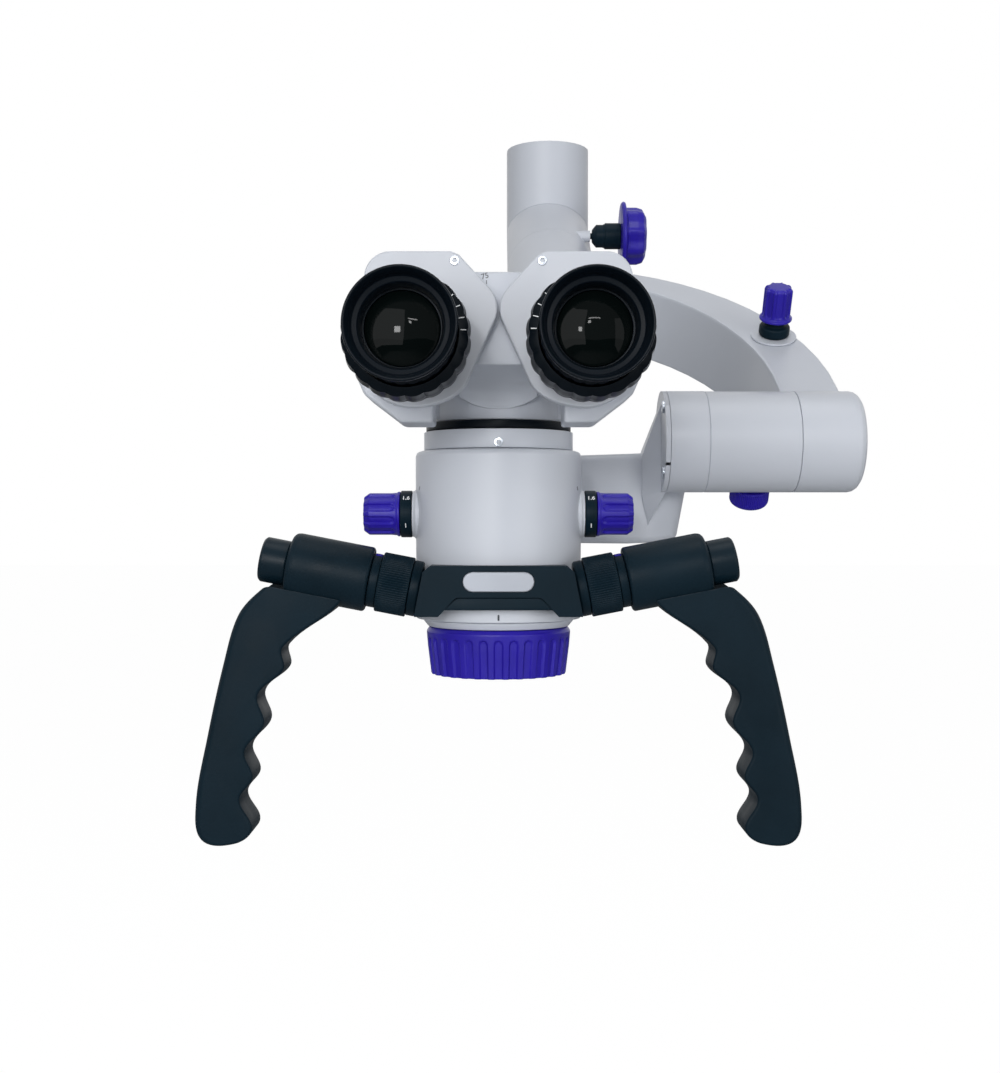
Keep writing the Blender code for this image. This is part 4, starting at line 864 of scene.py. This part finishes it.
def index_band(side, sign, root, axis):
    """The blue band on top of the index ring."""
    section = [(11.02, 17.8), (11.12, 17.9), (11.12, 20.3), (11.02, 20.4)]
    columns = []
    for step in range(11):
        turn = math.radians(-20 + 4 * step)
        sine, cosine = math.sin(turn), math.cos(turn)
        columns.append([(radius * sine, radius * cosine, height) for radius, height in section])
    top = Vector((-sign * math.sin(HANDLE_RISE), 0, math.cos(HANDLE_RISE)))
    turn = axes(axis.cross(top) * -1, top, axis)
    blue = FINISHES["blue_plastic"]
    body = side + "_hand_grip"
    add(side + "_index_band", skinned(columns), blue, body, root, turn)


GRIP_OUTLINE = [
    (62.8, -31.6), (87, -51), (86.7, -60), (97.1, -70.2), (94.6, -82), (102.4, -93),
    (99.2, -103.5), (104.5, -112.5), (99.4, -124.3), (106.5, -130.3), (120, -129), (122.6, -115),
    (117.8, -87), (111.4, -58), (105.6, -38.5), (97.5, -29), (86, -22), (66, -22),
]
GRIP_FIRST_OUTER = 9
GRIP_MIDDLE = -27
GRIP_HALF = 9.2
GRIP_BACK = 1.4
GRIP_EDGE = 1.2
GRIP_OUTER_EDGE = 3.4


def grip_curve(steps):
    """The outline as a smooth closed curve, with how far round it each of its points is."""
    points = [Vector(point) for point in GRIP_OUTLINE]
    count = len(points)
    result = []
    for index in range(count):
        before, start = points[index - 1], points[index]
        end, after = points[(index + 1) % count], points[(index + 2) % count]
        span = (end - start).length
        lead = (end - before).normalized() * span / 3
        trail = (after - start).normalized() * span / 3
        for step in range(steps):
            t = step / steps
            place = start * (1 - t) ** 3 + (start + lead) * 3 * t * (1 - t) ** 2
            place += (end - trail) * 3 * t * t * (1 - t) + end * t**3
            result.append((place, index + t))
    return result


def grip_edge(travelled):
    """The rounding of the grip's edge: crisp at the fingers, broad on the outer side."""
    run_in = (travelled - GRIP_FIRST_OUTER) / 2
    run_out = (len(GRIP_OUTLINE) - 2 - travelled) / 2
    outer = max(0, min(1, run_in, run_out))
    return GRIP_EDGE + (GRIP_OUTER_EDGE - GRIP_EDGE) * outer * outer * (3 - 2 * outer)


def grip(side, sign, root, axis):
    """One finger grip with flat cheeks and rounded edges, and the housing's seat cut in it."""
    curve = grip_curve(10)
    rings = []
    for level in range(-9, 10):
        turn = math.radians(abs(level) * 10)
        ring = []
        for index, (place, travelled) in enumerate(curve):
            ahead, behind = curve[(index + 1) % len(curve)][0], curve[index - 1][0]
            heading = (ahead - behind).normalized()
            inward = Vector((-heading.y, heading.x))
            radius = grip_edge(travelled)
            depth = GRIP_HALF - radius + radius * math.sin(turn) if level else 0
            depth *= GRIP_BACK if level > 0 else -1
            spot = place + inward * radius * (1 - math.cos(turn))
            ring.append((sign * spot.x, depth + GRIP_MIDDLE, spot.y))
        rings.append(ring)
    shape = cut(skinned(rings), tool(sleeve(0, 13.6, 15, 75), root, axis))
    stands_for(side + "_grip", shape, finish=GRIP, smooth=40)


def dipped(shape):
    """Lowers the seam between body and collar towards the operator, as the casting's top does."""
    for vertex in shape.verts:
        x, y, z = vertex.co
        facing = max(0, -y / max(1, math.hypot(x, y)))
        share = max(0, min(1, (z - 14) / 13, (37.4 - z) / 6))
        vertex.co.z -= 5.4 * facing**1.4 * share
    return shape


def rings_of_the_head():
    """The dovetail ring, the collar, the shell and the rings of the joints."""
    ring = turned(softened(sleeve(22, 30.9, 38, 41.4), 0.4), 192)
    stands_for("dovetail_ring", ring, direction=UP)
    collar = turned(softened(sleeve(22, 31.8, 29.9, 37.7), 0.4), 192)
    stands_for("body_collar", dipped(collar), direction=UP)
    body_shell()
    joint_rings()


def body_shell():
    """The body's wall, bored for the magnification shaft, with a boss on each side."""
    wall = [
        (22, 29.6), (33.4, 29.6), (34.8, 29), (35.4, 27.6), (35.4, 20), (35.3, 0), (35, -41.3),
        (25.9, -41.3), (25.9, -38.1), (32.2, -38.1), (32.2, 26.4), (22, 26.4),
    ]
    boss = [
        (4.5, 33), (10.9, 33), (10.9, 35.1), (10.1, 35.7), (9.8, 36.2), (9.8, 36.6), (4.5, 36.6),
    ]
    shell = dipped(turned(rows(softened(wall, 0.5), -40, 26, 6), 192))
    shell = cut(shell, tool(sleeve(0, 4.5, -40, 40), DIAL_CENTRE, RIGHT, 48))
    for sign in SIDES.values():
        mesh = mesh_of("boss", tool(softened(boss, 0.3), DIAL_CENTRE, RIGHT * sign))
        shell.from_mesh(mesh)
        bpy.data.meshes.remove(mesh)
    stands_for("body_shell", shell, direction=UP)


def joint_rings():
    """The tilt cylinder's flange and end cap, the swing lock's stem, the arm lock's two rings."""
    end_cap = [
        (8.3, 138.68), (23.8, 138.68), (23.8, 164), (23.4, 165.9), (22.3, 167.5), (20.7, 168.6),
        (18.8, 169), (0, 169), (0, 157), (8.3, 157),
    ]
    stem = [
        (0, 13.9), (1.8, 13.9), (1.8, 25.2), (3.8, 25.2), (6.8, 27.7), (6.8, 31.7), (7.1, 32),
        (7.1, 32.6), (7.8, 33), (7.8, 42.2), (0, 42.2),
    ]
    collar = [
        (0, -12), (2.5, -12), (2.5, 1.6), (7.2, 1.6), (7.8, 2.6), (7.8, 6.1), (7.2, 6.9),
        (5.2, 7.2), (5.2, 10.1), (0, 10.1),
    ]
    flange = sleeve(8.3, TILT_RADIUS, 78.7, 96.38)
    washer = sleeve(2.8, 11.6, 0.3, 1.3)
    white = FINISHES["white_enamel"]
    stands_for("tilt_flange", turned(softened(flange, 0.2)), TILT_AXIS, RIGHT)
    stands_for("tilt_end_cap", turned(softened(end_cap, 0.2)), TILT_AXIS, RIGHT)
    stands_for("swing_lock_stem", turned(softened(stem, 0.3)), SWING_LOCK, RIGHT)
    stands_for("arm_lock_collar", turned(softened(collar, 0.3)), ARM_LOCK, ARM_NORMAL)
    stands_for("arm_lock_washer", turned(softened(washer, 0.3)), ARM_LOCK, ARM_NORMAL, white)


# Cast pieces

CAST_CREASE = 28


def body_seat():
    """The room that the body takes up, with its gap, to be cut from what stands against it."""
    return turned(sleeve(0, BODY_SEAT, -60, 40), 192)


def upright_block(outline, low, high, edge):
    """A plan outline raised from one height to another, its rims rounded."""
    shape = flat(outline, high - low, high)
    round_rims(shape, edge, 4)
    return shape


def swept_bar():
    """The bar behind the head: its front sweeps back and its top rises towards the right."""
    plan = [(-22, 84), (-22, 62)]
    for step in range(9):
        turn = math.radians(90 * step / 8)
        plan.append((44 + 47 * math.sin(turn), 84 - 22 * math.cos(turn)))
    bar = upright_block(plan, -10, 30, 3)
    for vertex in bar.verts:
        x, _, z = vertex.co
        share = max(0, min(1, (x - 20) / 50))
        drop = 1.8 * max(0, (x - 60) / 30) - share
        vertex.co.z += 2.4 * share * max(0, z) / 30 + drop * max(0, -z) / 10
        vertex.co.x += 0.2 * (z - 13) * max(0, min(1, (x - 70) / 15))
    return bar


def bracket():
    """The bar with its foot at the body, and the tapered web that runs up to the flange."""
    foot = upright_block([(-20, 21), (20, 21), (20, 70), (-20, 70)], -7, 27, 2)
    bar = cut(swept_bar(), foot, "UNION")
    turns = [math.radians(7.5 * step) for step in range(48)]
    disc = [(math.cos(t), math.sin(t)) for t in turns]
    points = [(78.5, TILT_Y + 23.7 * x, TILT_Z + 23.7 * y) for x, y in disc if x > -0.2]
    points += [(68.2, y, z) for y in (64, 80) for z in (31.2, 12)] + [(71, 66, -2), (73, 80, -2)]
    bar = cut(bar, wrapped(points), "UNION")
    bar = cut(bar, tool(sleeve(0, TILT_RADIUS, 76.4, 78.6), TILT_AXIS, RIGHT), "UNION")
    bar = cut(bar, tool(sleeve(0, TILT_SEAT, 78.5, 140), TILT_AXIS, RIGHT))
    bar = cut(bar, body_seat())
    break_creases(bar, 0.35, CAST_CREASE)
    evened(stands_for("head_bracket", bar, smooth=50))


def shoulders(half, low, high):
    """Half of the plate cover's outline: a flat top that rounds over to the corner."""
    rise = high - low
    return [
        (half, low), (half - 1.9, low + 0.42 * rise), (half - 3.3, low + 0.72 * rise),
        (half - 4.3, low + 0.9 * rise), (half - 5.2, low + 0.98 * rise), (half - 6.2, high),
    ]


def plate():
    """The handle plate with a pocket and a gap in its lower edge, and the cover's shoulders."""
    front = mirrored([(33.8, -38.3), (30.3, -20.4), (27.4, -17.9)])
    mouth = [(-24.2, -38.4), (-24.2, -50), (24.2, -50), (24.2, -38.4), (21.8, -35.8)]
    pocket = mouth + mirrored(shoulders(21.8, -35.8, -30.6))[1:]
    shape = cut(flat(front, 28, 42), flat(pocket, 4, 43.7))
    shape = cut(shape, flat(mouth + [(-21.8, -35.8)], 40, 50))
    shape.transform(STANDING)
    shape = cut(shape, body_seat())
    break_creases(shape, 0.3, CAST_CREASE)
    evened(stands_for("handle_plate", shape, smooth=50))
    shape = flat(mirrored(shoulders(21.5, -35.5, -30.9)), 2, 42)
    rims = [e for e in shape.edges if min(e.verts[0].co.z, e.verts[1].co.z) > 41.9]
    bevel(shape, rims, 0.25, 2)
    shape.transform(STANDING)
    stands_for("plate_cover", shape)


def chin():
    """The binocular's underside: a disc in the neck's hollow and a cove that runs forward."""
    cove = [(-61.2, 63), (-61.2, 60.6), (-60.8, 60.2)]
    for step in range(1, 13):
        turn = math.radians(90 * step / 12)
        cove.append((-60.5 + 32 * math.sin(turn), 45 + 15 * math.cos(turn)))
    cove += [(-24, 45), (-24, 74), (-40, 74), (-40, 63)]
    shape = flat(cove, 31)
    shape.transform(Matrix(((0, 0, 1, 15.5), (1, 0, 0, 0), (0, 1, 0, 0), (0, 0, 0, 1))))
    bmesh.ops.recalc_face_normals(shape, faces=shape.faces)
    drum = tool(sleeve(0, NECK_RADIUS, 20, 64), NECK_CENTRE, FORWARD, 128)
    shape = cut(shape, drum, "INTERSECT")
    rim = [(0, 21), (NECK_RADIUS, 21), (NECK_RADIUS, 28.2), (27.4, 28.7), (0, 28.7)]
    top = flat([(-40, 66), (40, 66), (40, 120), (-40, 120)], 80, 40)
    top.transform(STANDING)
    disc = cut(tool(rim, NECK_CENTRE, FORWARD, 128), top)
    shape = cut(shape, disc, "UNION")
    white = FINISHES["white_enamel"]
    evened(add("binocular_chin", shape, white, "binocular", smooth=30))


def prism_covers():
    """The two covers and the boxes behind them."""
    for side, sign in SIDES.items():
        prism_cover(side, sign)
        prism_box(side, sign)


def prism_cover(side, sign):
    """One cover, its round end flattened underneath, with its pivot pin and the tube's hole."""
    outline = [(-15, 101)] + arc((-12, 80.5), 11.6, 42, -28, 10)
    for step in range(47):
        angle = -32 - 4 * step
        radius = 24 - 2.2 * max(0, min(1, (-38 - angle) / 37))
        turn = math.radians(angle)
        outline.append((-EYE_X + radius * math.cos(turn), EYE_Z + radius * math.sin(turn)))
    outline += arc((-41, 92.3), 10, 180, 90, 12) + [(-18, 102.3)]
    shape = flat([(-sign * x, z) for x, z in outline], 8, 70)
    round_rims(shape, 0.8, 3)
    shape.transform(STANDING)
    shape = cut(shape, tool(sleeve(0, 15.3, 60, 75), (sign * EYE_X, 0, EYE_Z), FORWARD))
    pin = tool(sleeve(0, 4, 57.5, 64), (sign * 12, 0, 80.5), FORWARD, 48)
    shape = cut(shape, pin, "UNION")
    evened(stands_for(side + "_prism_cover", shape, smooth=40))


def prism_box(side, sign):
    """One box behind its cover, all edges rounded."""
    outline = [
        (34, 99), (44, 99), (50, 92), (54.9, 62), (54.9, 56), (51.7, 48.6), (37.7, 37.9),
        (25.2, 37.9), (25.2, 94),
    ]
    shape = flat([(sign * x, z) for x, z in outline], 29.4, 61.7)
    bevel(shape, shape.edges[:], 1.2, 3)
    shape.transform(STANDING)
    evened(stands_for(side + "_prism_box", shape, smooth=40))


def fasteners():
    """Bright hexagon socket screws on the prism covers, the collar and the tilt flange."""
    forward = along(FORWARD)
    for side, sign in SIDES.items():
        place = (sign * 16.6, -70.02, 98.6)
        name = side + "_cover_screw"
        add(name, screw(), ZINC, side + "_prism", place, forward)
    place = (0, -31.75, 32.1)
    add("collar_screw", screw(1.95), ZINC, "head", place, forward)
    web = bpy.data.objects["head_bracket_fine"]
    for index, height in enumerate((52.7, 22.4)):
        hit, place, normal, _ = web.ray_cast(here((20, 46.5, height)), RIGHT)
        if hit:
            place = place / MM + ORIGIN + normal * 0.6
            name = f"flange_screw_{index}"
            add(name, screw(2.9), ZINC, "head", place, along(normal))


def prints():
    """Index strokes and the pupil distance figure."""
    shape = onto_upright(flat(dash(0.8, 2.5), 0.3), 35.1, 0)
    add("lower_index_mark", shape, DARK_PRINT, "head", (0, 0, -39.1))
    for side, sign in SIDES.items():
        stroke = flat(dash(0.8, 2.0), 0.3)
        stroke.transform(Matrix.Rotation(math.radians(35 * sign), 4, "Z"))
        shape = onto_upright(stroke, 35.45, sign * 69.5)
        add(side + "_dial_index_mark", shape, GREY_PRINT, "head", (0, 0, 13.7))
    tilted = STANDING @ Matrix.Rotation(math.radians(14), 4, "Z")
    figure, place = letters("75", 2.1), (-5.2, -61.42, 94.2)
    add("pupil_figure", figure, GREY_PRINT, "binocular", place, tilted)
    tick, place = flat(dash(0.35, 1.6), 0.2), (-4.6, -61.45, 91.9)
    add("pupil_tick", tick, GREY_PRINT, "binocular", place, STANDING)


# Floor, lights and camera

FLOOR_LEVEL = -0.64
FLOOR_HALF = 12
FLOOR_GLOW = 1.08
FLOOR_GLOW_SHARE = 0.9
LIGHT_AROUND = 0.18
LAMP_AIM = (20, 0, 20)


def shading(material, **nodes):
    """Turns the nodes of a material or world on and adds named ones of the given kinds."""
    material.use_nodes = True
    tree = material.node_tree
    made = {name: tree.nodes.new(kind) for name, kind in nodes.items()}
    return tree.nodes, made, tree.links.new


def floor():
    """A pale floor that keeps the object's shadow."""
    shape = bmesh.new()
    bmesh.ops.create_grid(shape, x_segments=1, y_segments=1, size=FLOOR_HALF)
    thing = put("floor", mesh_of("floor", shape))
    thing.location = (0, 0, FLOOR_LEVEL)
    paint = bpy.data.materials.new("floor_pale")
    nodes, made, link = shading(
        paint, glow="ShaderNodeEmission", mix="ShaderNodeMixShader", path="ShaderNodeLightPath",
        share="ShaderNodeMath",
    )
    shader = nodes["Principled BSDF"]
    shader.inputs["Base Color"].default_value = (0.6, 0.61, 0.62, 1)
    shader.inputs["Roughness"].default_value = 0.9
    made["glow"].inputs["Strength"].default_value = FLOOR_GLOW
    share = made["share"]
    share.operation = "MULTIPLY"
    share.inputs[1].default_value = FLOOR_GLOW_SHARE
    link(made["path"].outputs["Is Camera Ray"], share.inputs[0])
    link(share.outputs["Value"], made["mix"].inputs["Fac"])
    link(shader.outputs["BSDF"], made["mix"].inputs[1])
    link(made["glow"].outputs["Emission"], made["mix"].inputs[2])
    link(made["mix"].outputs["Shader"], nodes["Material Output"].inputs["Surface"])
    thing.data.materials.append(paint)


def surround():
    """White to the camera, to reflections and through glass; a lower even light elsewhere."""
    world = bpy.data.worlds.new("surround")
    bpy.context.scene.world = world
    nodes, made, link = shading(
        world, path="ShaderNodeLightPath", seen="ShaderNodeMath", through="ShaderNodeMath",
        level="ShaderNodeMapRange",
    )
    path, seen, through, level = made.values()
    seen.operation = through.operation = "MAXIMUM"
    link(path.outputs["Is Camera Ray"], seen.inputs[0])
    link(path.outputs["Is Glossy Ray"], seen.inputs[1])
    link(seen.outputs["Value"], through.inputs[0])
    link(path.outputs["Is Transmission Ray"], through.inputs[1])
    level.inputs["To Min"].default_value = LIGHT_AROUND
    level.inputs["To Max"].default_value = 1.0
    link(through.outputs["Value"], level.inputs["Value"])
    link(level.outputs["Result"], nodes["Background"].inputs["Strength"])
    nodes["Background"].inputs["Color"].default_value = (1, 1, 1, 1)


def lamp(name, place, size, power, height=None):
    """A square or oblong soft light that looks at the head."""
    light = bpy.data.lights.new(name, "AREA")
    light.size = size
    if height:
        light.shape = "RECTANGLE"
        light.size_y = height
    light.energy = power
    thing = put(name, light)
    thing.location = place
    aim = here(LAMP_AIM) - Vector(place)
    thing.rotation_euler = aim.to_track_quat("-Z", "Y").to_euler()


def lamps():
    """Three wide soft lights, and three small ones that put glints on the lenses and rings."""
    lamp("key", (-0.65, -2.0, 0.1), 1.1, 14)
    lamp("fill", (1.2, -1.8, -0.15), 1.1, 9)
    lamp("top", (0.1, -0.6, 1.6), 1.0, 8)
    lamp("catch", here((-221, -1620, 249)), 0.11, 3)
    lamp("spark", here((30, -1628, 395)), 0.06, 0.8)
    lamp("bar", here((126, -1620, 490)), 0.26, 1.6, 0.035)


def camera():
    """A level camera in front of the optical axis, framed as the photograph is."""
    data = bpy.data.cameras.new("camera")
    data.sensor_width = SENSOR
    data.lens = SENSOR * FOCAL_PIXELS / FRAME_HEIGHT
    data.shift_x = (FRAME_WIDTH / 2 - CENTRE_COLUMN) / FRAME_HEIGHT
    data.shift_y = -(FRAME_HEIGHT / 2 - EYE_LINE) / FRAME_HEIGHT
    data.clip_start = 0.01
    thing = put("camera", data)
    thing.location = here((0, -EYE_DISTANCE, 0))
    thing.rotation_euler = (math.pi / 2, 0, 0)
    bpy.context.scene.camera = thing


focus_end()
swing_lock_knob()
arm_lock_knob()
tilt_friction_knob()
magnification_knobs()
dials()
eyepieces()
handles()
rings_of_the_head()
bracket()
plate()
chin()
prism_covers()
fasteners()
prints()
dress_the_rest()
floor()
surround()
lamps()
camera()
bpy.context.scene.view_settings.view_transform = "Standard"
bpy.context.view_layer.update()
